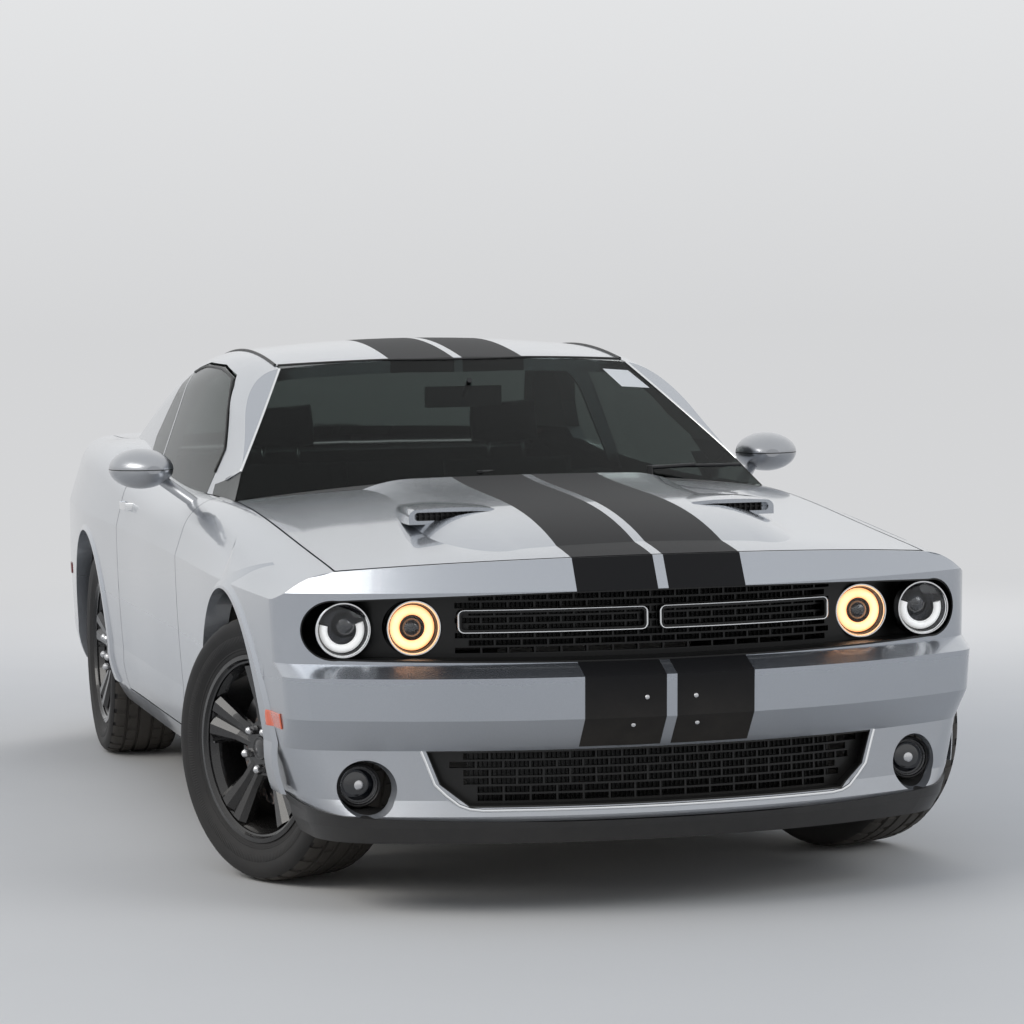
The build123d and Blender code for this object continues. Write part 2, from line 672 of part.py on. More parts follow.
def side_left():
    """Rocker, quarter panel, pillars and roof rail of one side."""
    lower = thin & block(-2700, door_front, 400, 1100, 180, 1200)
    lower = lower - cabin - block(-2700, 100, 0, deck_half + shut, 780, 1300) - arches
    lower = lower - side_prism(DOORWAY, 400, 1100) - side_prism(TAIL_SEAM + [(-2700, 100), (-1750, 100)], 0, 1100)
    pillars = (upper - cabin - outer) & block(-3000, 3000, 0, 1100, 0, 2000)
    pillars = pillars - block(rear_header_x, 3000, -drip_half, drip_half, 900, 1600)
    pillars = pillars - side_prism(GLASS_GAP, 400, 1100) - side_prism(QUARTER_GLASS, 400, 1100)
    pillars = pillars - (windshield_gap() - behind_header()) - backlight_gap()
    region = block(-2700, door_front, 400, 1100, 180, 1200)
    region = region - side_prism(TAIL_SEAM + [(-2700, 100), (-1750, 100)], 0, 1100)
    return with_lips(solid_of(lower + pillars), solid_of(region))


def rear_fascia():
    """The rear bumper and the panel that carries the tail lamps."""
    low = side_prism(TAIL_SEAM + [(-2800, 100), (-1750, 100)], -1100, 1100)
    panel = block(-2800, -2300, -deck_half, deck_half, 780, lid_lip - shut)
    tips = [block(-2800, -2300, s * 570, s * 400, 200, 345) for s in (-1, 1)]
    shell = solid_of((thin & (low + panel)) - arches - group(tips) - lamp_slot())
    return with_lips(shell, low)


def lamp_slot():
    return group([block(-2800, -2300, s * 70, s * 700, 860, 985) for s in (-1, 1)])


def tail_lamps():
    return group([solid_of(s) for s in ((tail(6) - tail(36)) & lamp_slot()).solids()])


def decklid():
    """The trunk lid on its two goosenecks, which dip below the deck's lip."""
    lean = side_prism([(deck_front - shut, 1300), (deck_front - shut, 1124), (deck_front - shut - 14, 1060),
                       (deck_front - shut - 14, 900), (-2700, 900), (-2700, 1300)], -deck_half, deck_half)
    lid = solid_of(thin & lean & block(-2700, 0, -deck_half, deck_half, lid_lip, 1300))
    route = [(lid_pivot_x, lid_pivot_z), (lid_pivot_x - 36, 812), (-1860, 850), (-1900, 1092)]
    arm = [drum(lid_pivot_x, lid_pivot_z, 17, lid_pivot_y - 7, lid_pivot_y + 7)]
    for (x0, z0), (x1, z1) in zip(route, route[1:]):
        arm += [rod((x0, lid_pivot_y, z0), (x1, lid_pivot_y, z1), 9), ball(x1, lid_pivot_y, z1, 9)]
    bore = drum(lid_pivot_x, lid_pivot_z, lid_pin_radius + running_gap, lid_pivot_y - 20, lid_pivot_y + 20)
    arm = fused(arm) - bore
    arm = solid_of(arm & body(0, skin_wall / 2, 100))
    return fused([lid] + both_sides(arm))


def rear_deck():
    half = deck_half + shut
    return solid_of((thin & block(deck_front, -1500, -half, half, 900, 1300)) - upper)


def cowl():
    panel = (thin & hood_plan(shut) & behind_cowl(-shut)) - upper
    return solid_of(panel & block(500, 2000, -900, 900, 800, 1300))


def wiper(y, swing):
    """An arm and a blade on a spindle that stands on the cowl."""
    z = 1062
    spindle = post(900, y, 9, 900, z)
    arm = rod((900, y, z - 6), (868, y + swing * 0.5, z - 2), 6)
    blade = rod((872, y + swing * 0.05, z - 4), (848, y + swing, z - 6), 5)
    return solid_of(fused([spindle, arm, blade]) - outer - upper)


def wipers():
    return group([wiper(-90, 480), wiper(430, 300)])


def cabin_mirror():
    glass = block(318, 340, -120, 120, 1235, 1300)
    return fused([glass, rod((330, 0, 1268), (420, 0, 1320), 8)]) - sheet


def wheel_liners():
    """The four wheel houses: an arched shell over each wheel, up to the fender's inner face."""
    liners = []
    for x, low in ((axle_front, front_house_inner), (axle_rear, rear_house_inner)):
        arch = drum(x, tyre_radius, arch_radius + 12, low, 1000) - drum(x, tyre_radius, arch_radius + 6, low + 6, 1100)
        window = block(x - 130, x + 130, low - 10, low + 10, 0, 560)
        strut = rod((x, strut_low_y, strut_low_z), (x, strut_high_y, strut_high_z), strut_radius + 6)
        liner = (arch - window - strut) & block(x - 500, x + 500, low, 1000, 400, 1000)
        liners += both_sides(solid_of(liner & inner))
    return group(liners)


def underbody():
    """Floor, sills, posts, firewall, rails, bumper beam and strut towers as one welded frame."""
    pieces = [block(-1000, 900, -900, 900, 215, floor_top), block(-1030, -1000, -580, 580, 215, rear_floor),
              block(880, 900, -680, 680, 215, 1100), block(880, 900, -900, 900, 215, 900)]
    for s in (-1, 1):
        pieces += [block(-1000, 880, s * 780, s * 900, 215, 290), block(610, 680, s * 780, s * 900, 215, 930),
                   block(-770, -712, s * 790, s * 900, 215, 990), block(880, 2290, s * 400, s * 470, 330, 430),
                   block(2230, 2290, s * 400, s * 470, 330, 600), block(2230, 2380, s * 400, s * 470, 530, 600),
                   block(axle_front - 110, axle_front + 110, s * 400, s * 470, 430, 880),
                   block(axle_front - 110, axle_front + 110, s * 400, s * 640, 830, 880)]
    beam = nose_slab(2540, 200, 620, 530, 600) & levels(NOSE_ROWS, skin_wall)
    return fused([solid_of(fused(pieces) & inner), solid_of(beam)])


def trunk_tub():
    """The rear floor, seat bulkhead, shelf, side walls and rear panel of the trunk, with the lid's pivots."""
    pieces = [block(-2350, -1000, -600, 600, rear_floor, rear_floor_top),
              block(-1330, -1310, -600, 600, rear_floor, 1040),
              block(-1790, -1310, -640, 640, 1040, 1052), block(-2350, -2290, -580, 580, rear_floor, 760)]
    for s in (-1, 1):
        pieces += [block(-1790, -1310, s * 580, s * 600, rear_floor, 1052),
                   block(lid_pivot_x - 20, lid_pivot_x + 20, s * 600, s * 660, 1040, 1078),
                   drum(lid_pivot_x, lid_pivot_z, lid_pin_radius, s * 640, s * (lid_pivot_y + 22))]
    return solid_of(fused(pieces) & inner)


def engine():
    return block(1050, 1800, -270, 270, 255, 860)


def at_wheel(shape, x):
    """Puts a piece made about the wheel's centre at the left wheel of an axle."""
    return shape.moved(Location((x, track / 2, tyre_radius)))


def steered(shape, side):
    """Turns a piece about the kingpin to the parked steering angle."""
    return shape.rotate(Axis((axle_front, side * kingpin_y, 0), (0, 0, 1)), steer_at_rest)


def tyre():
    """The tyre, its beads just clear of the rim's flanges and its seam turned away from the rim's."""
    half, seat = tyre_width / 2, rim_width / 2 - 8.4
    rows = [(rim_radius - 21.7, seat), (rim_radius + 8, seat + 6), (rim_radius + 66, half),
            (tyre_radius - 12, half - 12), (tyre_radius, half - 34)]
    return turned(rows + [(r, -y) for r, y in reversed(rows)]).rotate(Axis.Y, tyre_seam_turn)


def spoke_wire(r, half, back, face, groove):
    """A spoke's section: a broad face with a groove along its middle and edges that fall away."""
    right = [(half, back), (half, face - 12), (half * 0.72, face), (half * 0.3, face), (0, face - groove)]
    points = right + [(-w, y) for w, y in reversed(right[:-1])]
    return Wire.make_polygon([Vector(w, y, r) for w, y in points], close=True)


def rim():
    """The wheel, its face towards +Y: barrel, tapered spokes, hub, lug nuts and cap."""
    half, well = rim_width / 2, rim_radius - 34
    barrel = turned([(rim_radius, half), (rim_radius - 22, half - 8), (rim_radius - 22, -half + 8),
                     (rim_radius, -half), (rim_radius - 14, -half - 2), (well, -half + 30), (well, half - 34),
                     (rim_radius - 12, half + 2)])
    pieces = [barrel, drum(0, 0, 75, hub_face, hub_face + 22), drum(0, 0, 31, hub_face + 10, hub_face + 34)]
    spoke = Solid.make_loft([spoke_wire(*row) for row in SPOKE_ROWS], ruled=True)
    spoke = solid_of(spoke & drum(0, 0, well + 4, 0, 200))
    pieces += [spoke.rotate(Axis.Y, 72 * k) for k in range(5)]
    pieces += [drum(0, 57, 11, hub_face + 10, hub_face + 40).rotate(Axis.Y, 72 * k + 36) for k in range(5)]
    return fused(pieces)


def disc():
    plate = drum(0, 0, disc_radius, disc_inner, disc_outer) + drum(0, 0, 70, disc_inner, hub_face)
    return solid_of(plate - drum(0, 0, spindle_radius + running_gap, disc_inner - 1, hub_face - 6))


def caliper(angle):
    """A brake caliper that straddles the disc at an angle about the axle."""
    slot = drum(0, 0, disc_radius + 6, disc_inner - 5.5, disc_outer + 5.5)
    shape = block(78, 196, -14, disc_outer + 20, -58, 58) - slot
    shape = (shape & drum(0, 0, 198, -100, 100)) - drum(0, 0, 84, -100, 100)
    return solid_of(shape).rotate(Axis.Y, angle)


def upright(with_pins):
    """The bearing housing behind a wheel, with its spindle and caliper."""
    back = kingpin_y - track / 2
    body_plate = block(-30, 30, back - 26, back + 26, ball_low - tyre_radius, ball_high - tyre_radius)
    pieces = [body_plate, drum(0, 0, 52, back - 10, back + 34), drum(0, 0, spindle_radius, back, hub_face - 10),
              block(60, 150, back + 6, back + 26, -40, 40), block(20, 70, back + 6, back + 26, -30, 30),
              block(96, 150, back + 6, -8, -36, 36), caliper(0)]
    shape = fused(pieces)
    if with_pins:
        bore = kingpin_radius + running_gap
        shape = shape - post(0, back, bore, ball_low - tyre_radius - 1, ball_low - tyre_radius + 30)
        shape = shape - post(0, back, bore, ball_high - tyre_radius - 30, ball_high - tyre_radius + 1)
    return solid_of(shape)


def wishbone(root, root_half, z0, z1, pin_from, pin_to):
    """A control arm of the left front wheel with the pin that the upright turns on."""
    tip, waist, half = kingpin_y, 600, 24
    arm = plan_prism([(axle_front - half, tip), (axle_front - half, waist), (axle_front - root_half, root + 60),
                      (axle_front - root_half, root), (axle_front + root_half, root),
                      (axle_front + root_half, root + 60), (axle_front + half, waist), (axle_front + half, tip)], z0, z1)
    hole = plan_prism([(axle_front - 8, waist - 30), (axle_front - root_half + 40, root + 40),
                       (axle_front + root_half - 40, root + 40), (axle_front + 8, waist - 30)], z0 - 1, z1 + 1)
    return fused([solid_of(arm - hole), post(axle_front, tip, half, z0, z1),
                  post(axle_front, tip, kingpin_radius, pin_from, pin_to)])


def front_suspension():
    """Crossmember, control arms and coil-over struts of both front wheels."""
    pieces = [block(axle_front - 90, axle_front + 90, -400, 400, 190, 255)]
    low = wishbone(395, 170, ball_low - 27, ball_low - 6, ball_low - 10, ball_low + 25)
    foot, head = (axle_front, strut_low_y, strut_low_z), (axle_front, strut_high_y, strut_high_z)
    strut = rod(foot, head, 22) + (rod(foot, head, strut_radius) & block(1000, 2000, 400, 700, 330, 800))
    side = fused([low, solid_of(strut - block(1000, 2000, 400, 700, 830, 1000))])
    high = wishbone(front_house_inner, 110, ball_high + 6, ball_high + 24, ball_high - 25, ball_high + 10)
    return group([fused(pieces + both_sides(side))] + both_sides(high - rod(foot, head, strut_radius + 6)))


def rear_suspension():
    """Subframe, differential, arms, uprights and coil-over struts of both rear wheels."""
    pieces = [block(axle_rear - 230, axle_rear - 170, -520, 520, 330, 400), drum(axle_rear, tyre_radius, 88, -130, 130),
              block(axle_rear + 170, axle_rear + 230, -520, 520, 330, 400),
              block(axle_rear - 230, axle_rear + 230, -60, 60, 300, 410)]
    carrier = at_wheel(upright(False), axle_rear)
    side = [block(axle_rear - 230, axle_rear + 230, 460, 520, 330, 400), carrier,
            post(axle_rear - 200, 490, 28, 390, rear_floor), post(axle_rear + 200, 490, 28, 390, rear_floor),
            rod((axle_rear - 100, 500, 350), (axle_rear - 10, 740, 260), 20),
            rod((axle_rear + 100, 500, 350), (axle_rear + 10, 740, 260), 20),
            rod((axle_rear, 100, tyre_radius), (axle_rear, 760, tyre_radius), 20)]
    for piece in side:
        pieces += both_sides(piece)
    return fused(pieces)


def exhaust():
    """Twin pipes under the floor, each ending in a silencer and a tip."""
    pipes = []
    for s in (-1, 1):
        run = [rod((900, s * 240, 187), (-1850, s * 240, 187), 28),
               rod((-1850, s * 240, 187), (-2000, s * 400, 290), 28),
               block(-2270, -1950, s * 330, s * 560, 215, 360), rod((-2270, s * 485, 275), (-2470, s * 485, 275), 38),
               ball(-1850, s * 240, 187, 28)]
        hangers = [block(x - 15, x + 15, s * 228, s * 252, 200, 215) for x in (600, -600)]
        pipes.append(fused(run + hangers + [block(-2200, -2180, s * 430, s * 460, 350, rear_floor)]))
    return group(pipes)


def seat(y):
    """A bucket seat with bolsters, backrest and headrest."""
    base = block(-560, -20, y - 250, y + 250, 330, 490)
    back = side_prism([(-430, 480), (-570, 480), (-730, 1040), (-640, 1060)], y - 240, y + 240)
    legs = block(-480, -80, y - 180, y + 180, floor_top, 340)
    posts = [rod((-680, y + d, 1030), (-705, y + d, 1120), 8) for d in (-60, 60)]
    head = side_prism([(-650, 1090), (-745, 1080), (-765, 1230), (-700, 1245)], y - 125, y + 125)
    return fused([base, back, legs, head] + posts)


def rear_seat():
    base = block(-1230, -850, -540, 540, rear_floor_top, 570) + block(-999, -850, -540, 540, floor_top, 490)
    back = side_prism([(-1160, 560), (-1309, 560), (-1309, 1030), (-1270, 1030)], -540, 540)
    return solid_of(base + back)


def dashboard():
    """The instrument panel with its centre stack and console, and the bearing of the steering column."""
    board = side_prism([(870, 700), (870, 980), (640, 970), (530, 900), (520, 760), (640, 640)], -770, 770)
    stack = side_prism([(520, floor_top), (560, 700), (700, 760), (700, floor_top)], -110, 110)
    console = block(-450, 540, -105, 105, floor_top, 470)
    shape = fused([board & behind_cowl(-60, 200), stack, console]) & inner
    return solid_of(shape - column_place(Solid.make_cylinder(28 + running_gap, 400).moved(Location((0, 0, -400)))))


def column_place(shape):
    """Sets a piece made about the steering wheel's centre, its axis along Z, at the driver's place."""
    return shape.moved(Location((330, 390, 860), (0, -66, 0)))


def steering_wheel():
    pieces = [Solid.make_torus(180, 15), Solid.make_cylinder(58, 44).moved(Location((0, 0, -34))),
              block(-16, 16, -180, 180, -14, 4), block(-180, 0, -18, 18, -14, 4),
              Solid.make_cylinder(28, 330).moved(Location((0, 0, -350)))]
    return column_place(fused(pieces))


def write(name, shape):
    shape.label = name
    export_step(shape, f"parts/{name}.step")


# Pieces that lie on the car's middle line or come in pairs on one body
for name, shape in (("underbody", underbody()), ("trunk_tub", trunk_tub()), ("engine", engine()),
                    ("exhaust", exhaust()), ("hood", hood()),
                    ("front_fascia", front_fascia()), ("grilles", group(upper_grille() + lower_grille())),
                    ("front_lamps", front_lamps()), ("chin_spoiler", chin_spoiler()), ("cowl", cowl()),
                    ("roof", roof()), ("rear_deck", rear_deck()), ("decklid", decklid()),
                    ("rear_fascia", rear_fascia()), ("fixed_glass", fixed_glass()), ("tail_lamps", tail_lamps()),
                    ("wheel_liners", wheel_liners()), ("wipers", wipers()), ("cabin_mirror", cabin_mirror()),
                    ("front_suspension", front_suspension()), ("rear_suspension", rear_suspension()),
                    ("dashboard", dashboard()), ("steering_wheel", steering_wheel()),
                    ("front_seats", group([seat(-390), seat(390)])), ("rear_seat", rear_seat()),
                    ("scoop_vents", group(both_sides(scoop_vent_left())))):
    write(name, shape)

# Panels of each side, made on the left and mirrored
for name, shape in (("fender", fender_left()), ("door", door_left()), ("door_glass", door_glass_left()),
                    ("mirror", mirror_left()), ("side", side_left())):
    write(f"{name}_left", shape)
    write(f"{name}_right", mirrored(shape))

# Wheels, made about their centre and set at each corner
wheel_pieces = (("tyre", tyre()), ("rim", rim()), ("disc", disc()))
for side, sign in (("left", 1), ("right", -1)):
    for axle, x in (("front", axle_front), ("rear", axle_rear)):
        for piece, shape in wheel_pieces:
            placed = at_wheel(shape, x) if sign > 0 else mirrored(at_wheel(shape, x))
            write(f"{piece}_{axle}_{side}", steered(placed, sign) if axle == "front" else placed)
    knuckle = at_wheel(upright(True), axle_front)
    write(f"knuckle_{side}", steered(knuckle if sign > 0 else mirrored(knuckle), sign))
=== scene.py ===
import math

import bmesh
import bpy
from mathutils import Matrix, Vector


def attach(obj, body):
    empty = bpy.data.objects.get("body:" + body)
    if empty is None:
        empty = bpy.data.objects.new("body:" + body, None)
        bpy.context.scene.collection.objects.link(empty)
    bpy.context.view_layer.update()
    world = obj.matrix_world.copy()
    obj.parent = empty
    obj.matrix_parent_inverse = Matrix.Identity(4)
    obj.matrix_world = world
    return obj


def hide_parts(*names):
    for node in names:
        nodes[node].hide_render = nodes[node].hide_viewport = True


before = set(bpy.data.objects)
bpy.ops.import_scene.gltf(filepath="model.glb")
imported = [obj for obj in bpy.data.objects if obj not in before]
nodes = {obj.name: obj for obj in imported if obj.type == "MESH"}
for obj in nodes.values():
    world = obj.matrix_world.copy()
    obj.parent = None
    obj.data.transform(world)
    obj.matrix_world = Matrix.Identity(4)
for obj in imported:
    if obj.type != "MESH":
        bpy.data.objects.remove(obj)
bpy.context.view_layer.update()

bpy.ops.object.select_all(action="DESELECT")
print("frame loaded")

sides = {"left": 1, "right": -1}
steerTurn = math.radians(24.5)
steerX, steerY, wheelOffset, axleHeight, rearX = 1.5285, 0.76, 0.045, 0.36, -1.4215


# Small tools for modelling in edit mode

mergeGap = 0.00001

def named(name):
    obj = bpy.context.object
    obj.name = name
    obj.data.name = name
    return obj


def only(obj):
    bpy.ops.object.select_all(action="DESELECT")
    obj.select_set(True)
    bpy.context.view_layer.objects.active = obj
    return obj


def choose(obj, kind, test):
    bpy.ops.mesh.select_mode(type=kind)
    bpy.ops.mesh.select_all(action="DESELECT")
    mesh = bmesh.from_edit_mesh(obj.data)
    items = {"VERT": mesh.verts, "EDGE": mesh.edges, "FACE": mesh.faces}[kind]
    for item in items:
        place = item.co if kind == "VERT" else sum((v.co for v in item.verts), Vector()) / len(item.verts)
        if test(place, item):
            item.select_set(True)
    mesh.select_flush_mode()
    bmesh.update_edit_mesh(obj.data)


def edit(obj):
    only(obj)
    bpy.ops.object.mode_set(mode="EDIT")
    bpy.ops.mesh.select_mode(type="VERT")
    bpy.ops.mesh.select_all(action="SELECT")


def done(obj, outward=True):
    bpy.ops.mesh.select_all(action="SELECT")
    bpy.ops.mesh.remove_doubles(threshold=mergeGap)
    if outward:
        bpy.ops.mesh.normals_make_consistent(inside=False)
    bpy.ops.object.mode_set(mode="OBJECT")
    return obj


def smooth(obj, angle=35):
    only(obj)
    bpy.ops.object.shade_smooth_by_angle(angle=math.radians(angle))
    return obj


def modify(obj, kind, **values):
    only(obj)
    modifier = obj.modifiers.new(kind.lower(), kind)
    for key, value in values.items():
        setattr(modifier, key, value)
    bpy.ops.object.modifier_apply(modifier=modifier.name)
    return obj


def eased(obj, width):
    return modify(obj, "BEVEL", width=width, segments=2, limit_method="ANGLE")


def drop(*pieces):
    for piece in pieces:
        bpy.data.objects.remove(piece)


def twin(obj, name, matrix=Matrix.Identity(4)):
    other = obj.copy()
    other.data = obj.data.copy()
    other.name = name
    other.data.name = name
    bpy.context.scene.collection.objects.link(other)
    other.data.transform(matrix)
    if matrix.determinant() < 0:
        other.data.flip_normals()
    return other


def joined(name, pieces):
    bpy.ops.object.select_all(action="DESELECT")
    for piece in pieces:
        piece.select_set(True)
    bpy.context.view_layer.objects.active = pieces[0]
    bpy.ops.object.join()
    return named(name)


def dress(obj, material, body, replaces=()):
    obj.data.materials.clear()
    obj.data.materials.append(material)
    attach(obj, body)
    if replaces:
        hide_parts(*replaces)
    return obj


def spun(name, profile, steps, angle=math.tau, start=0.0):
    # profile is a closed outline of (radius, distance along Y), spun round the Y axis
    bpy.ops.mesh.primitive_plane_add(size=0.01, location=(0, 0, 0))
    obj = named(name)
    edit(obj)
    bpy.ops.mesh.merge(type="CENTER")
    bpy.ops.transform.translate(value=(0, profile[0][1], profile[0][0]))
    route = list(profile) + [profile[0]]
    for (r0, a0), (r1, a1) in zip(route, route[1:]):
        bpy.ops.mesh.extrude_vertices_move(TRANSFORM_OT_translate={"value": (0, a1 - a0, r1 - r0)})
    bpy.ops.mesh.select_all(action="SELECT")
    if start:
        bpy.ops.transform.rotate(value=start, orient_axis="Y", center_override=(0, 0, 0))
    bpy.ops.mesh.spin(steps=steps, angle=angle, center=(0, 0, 0), axis=(0, 1, 0))
    return done(obj)


def rail(name, points, radius, around=12):
    # a thin round strip that follows points
    bpy.ops.curve.primitive_nurbs_path_add()
    obj = bpy.context.object
    curve = obj.data
    curve.splines.clear()
    spline = curve.splines.new("POLY")
    spline.points.add(len(points) - 1)
    for knot, point in zip(spline.points, points):
        knot.co = (*point, 1)
    curve.bevel_depth = radius
    curve.bevel_resolution = max(0, around // 4 - 1)
    curve.use_fill_caps = True
    bpy.ops.object.convert(target="MESH")
    obj = named(name)
    edit(obj)
    return done(obj)


def cast(names, origin, direction):
    # the nearest point of these CAD nodes along a line
    origin, direction = Vector(origin), Vector(direction)
    best = None
    for name in names:
        hit, place = nodes[name].ray_cast(origin, direction)[:2]
        if hit and (best is None or (place - origin).length < (best - origin).length):
            best = place
    return best


def patch(name, names, corners, direction, across, along, lift, thickness):
    # a thin piece laid on the skin: corners are four points off the skin, cast back along direction
    bpy.ops.mesh.primitive_grid_add(x_subdivisions=across, y_subdivisions=along, size=2)
    obj = named(name)
    a, b, c, d = (Vector(p) for p in corners)
    for v in obj.data.vertices:
        s, t = (v.co.x + 1) / 2, (v.co.y + 1) / 2
        start = a.lerp(b, s).lerp(d.lerp(c, s), t)
        found = cast(names, start, direction)
        v.co = (found or start) - Vector(direction).normalized() * lift
    edit(obj)
    done(obj)
    obj.data.update()
    if obj.data.polygons[0].normal.dot(Vector(direction)) > 0:
        obj.data.flip_normals()
    modify(obj, "SOLIDIFY", thickness=thickness, offset=1.0)
    eased(obj, min(abs(thickness) * 0.4, 0.002))
    return smooth(obj)


# Small tools for materials

def fill(tree, node, inputs):
    for key, value in dict(inputs).items():
        if isinstance(value, bpy.types.NodeSocket):
            tree.links.new(value, node.inputs[key])
        else:
            node.inputs[key].default_value = value
    return node


def add(tree, kind, inputs=(), **settings):
    node = tree.nodes.new("ShaderNode" + kind)
    for key, value in settings.items():
        setattr(node, key, value)
    return fill(tree, node, inputs)


def sums(tree, operation, a, b=0.0, clamp=False):
    return add(tree, "Math", {0: a, 1: b}, operation=operation, use_clamp=clamp).outputs[0]


def times(tree, a, b, clamp=False):
    return sums(tree, "MULTIPLY", a, b, clamp)


def plus(tree, a, b, clamp=False):
    return sums(tree, "ADD", a, b, clamp)


def minus(tree, a, b, clamp=False):
    return sums(tree, "SUBTRACT", a, b, clamp)


def noiseOf(tree, place, scale, detail):
    return add(tree, "TexNoise", {"Vector": place, "Scale": scale, "Detail": detail}).outputs[0]


def partsOf(tree, vector):
    return add(tree, "SeparateXYZ", {0: vector}).outputs


def blendColor(tree, mask, a, b):
    return add(tree, "Mix", {0: mask, 6: a, 7: b}, data_type="RGBA").outputs[2]


def blendValue(tree, mask, a, b):
    return add(tree, "Mix", {0: mask, 2: a, 3: b}, data_type="FLOAT").outputs[0]


def within(tree, value, low, high):
    above = sums(tree, "GREATER_THAN", value, low)
    return times(tree, above, sums(tree, "LESS_THAN", value, high))


def newGroup(name, ins, outs):
    group = bpy.data.node_groups.new(name, "ShaderNodeTree")
    for label, kind, value in ins:
        socket = group.interface.new_socket(label, in_out="INPUT", socket_type="NodeSocket" + kind)
        socket.default_value = value
    for label, kind in outs:
        group.interface.new_socket(label, in_out="OUTPUT", socket_type="NodeSocket" + kind)
    return group, group.nodes.new("NodeGroupInput").outputs, group.nodes.new("NodeGroupOutput")


def effect(tree, group, **inputs):
    node = tree.nodes.new("ShaderNodeGroup")
    node.node_tree = group
    return fill(tree, node, inputs).outputs


def newMaterial(name, **values):
    material = bpy.data.materials.new(name)
    material.use_nodes = True
    tree = material.node_tree
    gloss = tree.nodes["Principled BSDF"]
    place = tree.nodes.new("ShaderNodeTexCoord").outputs["Object"]
    fill(tree, gloss, {key.replace("_", " "): value for key, value in values.items()})
    return material, tree, gloss, place


# Effects that several finishes share

def makeGrain():
    group, enter, leave = newGroup("surfaceGrain", [("Scale", "Float", 400.0), ("Depth", "Float", 0.2)],
                                   [("Normal", "Vector"), ("Value", "Float")])
    place = group.nodes.new("ShaderNodeTexCoord").outputs["Object"]
    cells = add(group, "TexVoronoi", {"Vector": place, "Scale": enter["Scale"]})
    noise = noiseOf(group, place, enter["Scale"], 3.0)
    height = times(group, cells.outputs["Distance"], noise)
    bump = add(group, "Bump", {"Strength": enter["Depth"], "Distance": 0.0006, "Height": height})
    group.links.new(bump.outputs[0], leave.inputs["Normal"])
    group.links.new(noise, leave.inputs["Value"])
    return group


def makeDust():
    group, enter, leave = newGroup("roadDust", [("Top", "Float", 0.5), ("Amount", "Float", 0.5)],
                                   [("Mask", "Float")])
    place = group.nodes.new("ShaderNodeTexCoord").outputs["Object"]
    height = partsOf(group, place)[2]
    fade = minus(group, 1.0, sums(group, "DIVIDE", height, enter["Top"]), clamp=True)
    broad = add(group, "TexNoise",
                {"Vector": place, "Scale": 7.0, "Detail": 8.0, "Roughness": 0.65}).outputs[0]
    patchy = times(group, fade, broad)
    group.links.new(times(group, patchy, enter["Amount"], clamp=True), leave.inputs["Mask"])
    return group


def makeTone():
    inputs = [("Color", "Color", (0.5, 0.5, 0.5, 1)), ("Scale", "Float", 12.0), ("Spread", "Float", 0.2)]
    group, enter, leave = newGroup("toneShift", inputs, [("Color", "Color")])
    place = group.nodes.new("ShaderNodeTexCoord").outputs["Object"]
    noise = noiseOf(group, place, enter["Scale"], 6.0)
    shift = times(group, minus(group, noise, 0.5), enter["Spread"])
    value = plus(group, shift, 1.0)
    toned = add(group, "HueSaturation", {"Value": value, "Color": enter["Color"]})
    group.links.new(toned.outputs[0], leave.inputs["Color"])
    return group


def makeFlakes():
    group, enter, leave = newGroup("metalFlakes", [("Scale", "Float", 900.0), ("Depth", "Float", 0.1)],
                                   [("Normal", "Vector"), ("Glint", "Float")])
    place = group.nodes.new("ShaderNodeTexCoord").outputs["Object"]
    cells = add(group, "TexVoronoi", {"Vector": place, "Scale": enter["Scale"]})
    glint = add(group, "SeparateColor", {0: cells.outputs["Color"]}).outputs[0]
    bump = add(group, "Bump", {"Strength": enter["Depth"], "Distance": 0.0004, "Height": glint})
    group.links.new(bump.outputs[0], leave.inputs["Normal"])
    group.links.new(glint, leave.inputs["Glint"])
    return group


def makeScuff():
    inputs = [("Centre", "Vector", (0, 0, 0)), ("Size", "Vector", (1, 1, 1))]
    group, enter, leave = newGroup("scuffMark", inputs, [("Mask", "Float")])
    place = group.nodes.new("ShaderNodeTexCoord").outputs["Object"]
    offset = add(group, "VectorMath", {0: place, 1: enter["Centre"]}, operation="SUBTRACT").outputs[0]
    scaled = add(group, "VectorMath", {0: offset, 1: enter["Size"]}, operation="DIVIDE").outputs[0]
    far = add(group, "VectorMath", {0: scaled}, operation="LENGTH").outputs["Value"]
    noise = noiseOf(group, place, 300.0, 4.0)
    edge = plus(group, far, times(group, noise, 0.9))
    group.links.new(sums(group, "LESS_THAN", edge, 1.2), leave.inputs["Mask"])
    return group


grain, dust, tone, flakes, scuff = makeGrain(), makeDust(), makeTone(), makeFlakes(), makeScuff()
dustColor = (0.33, 0.29, 0.24, 1)

# The finish of the panels: silver flake under lacquer, twin satin stripes, a few marks on the nose
paint = {
    "silver": (0.425, 0.45, 0.49, 1), "shade": (0.38, 0.405, 0.445, 1), "stripe": (0.006, 0.006, 0.007, 1),
    "stripeInner": 0.0135, "stripeOuter": 0.213, "stripeBottom": 0.43, "flakeScale": 1100.0,
    "marks": [((2.44, -0.828, 0.625), (0.06, 0.012, 0.0035)), ((2.48, -0.644, 0.614), (0.06, 0.010, 0.003)),
              ((2.43, -0.87, 0.532), (0.05, 0.030, 0.0022)), ((2.445, -0.80, 0.528), (0.05, 0.040, 0.0022))],
}


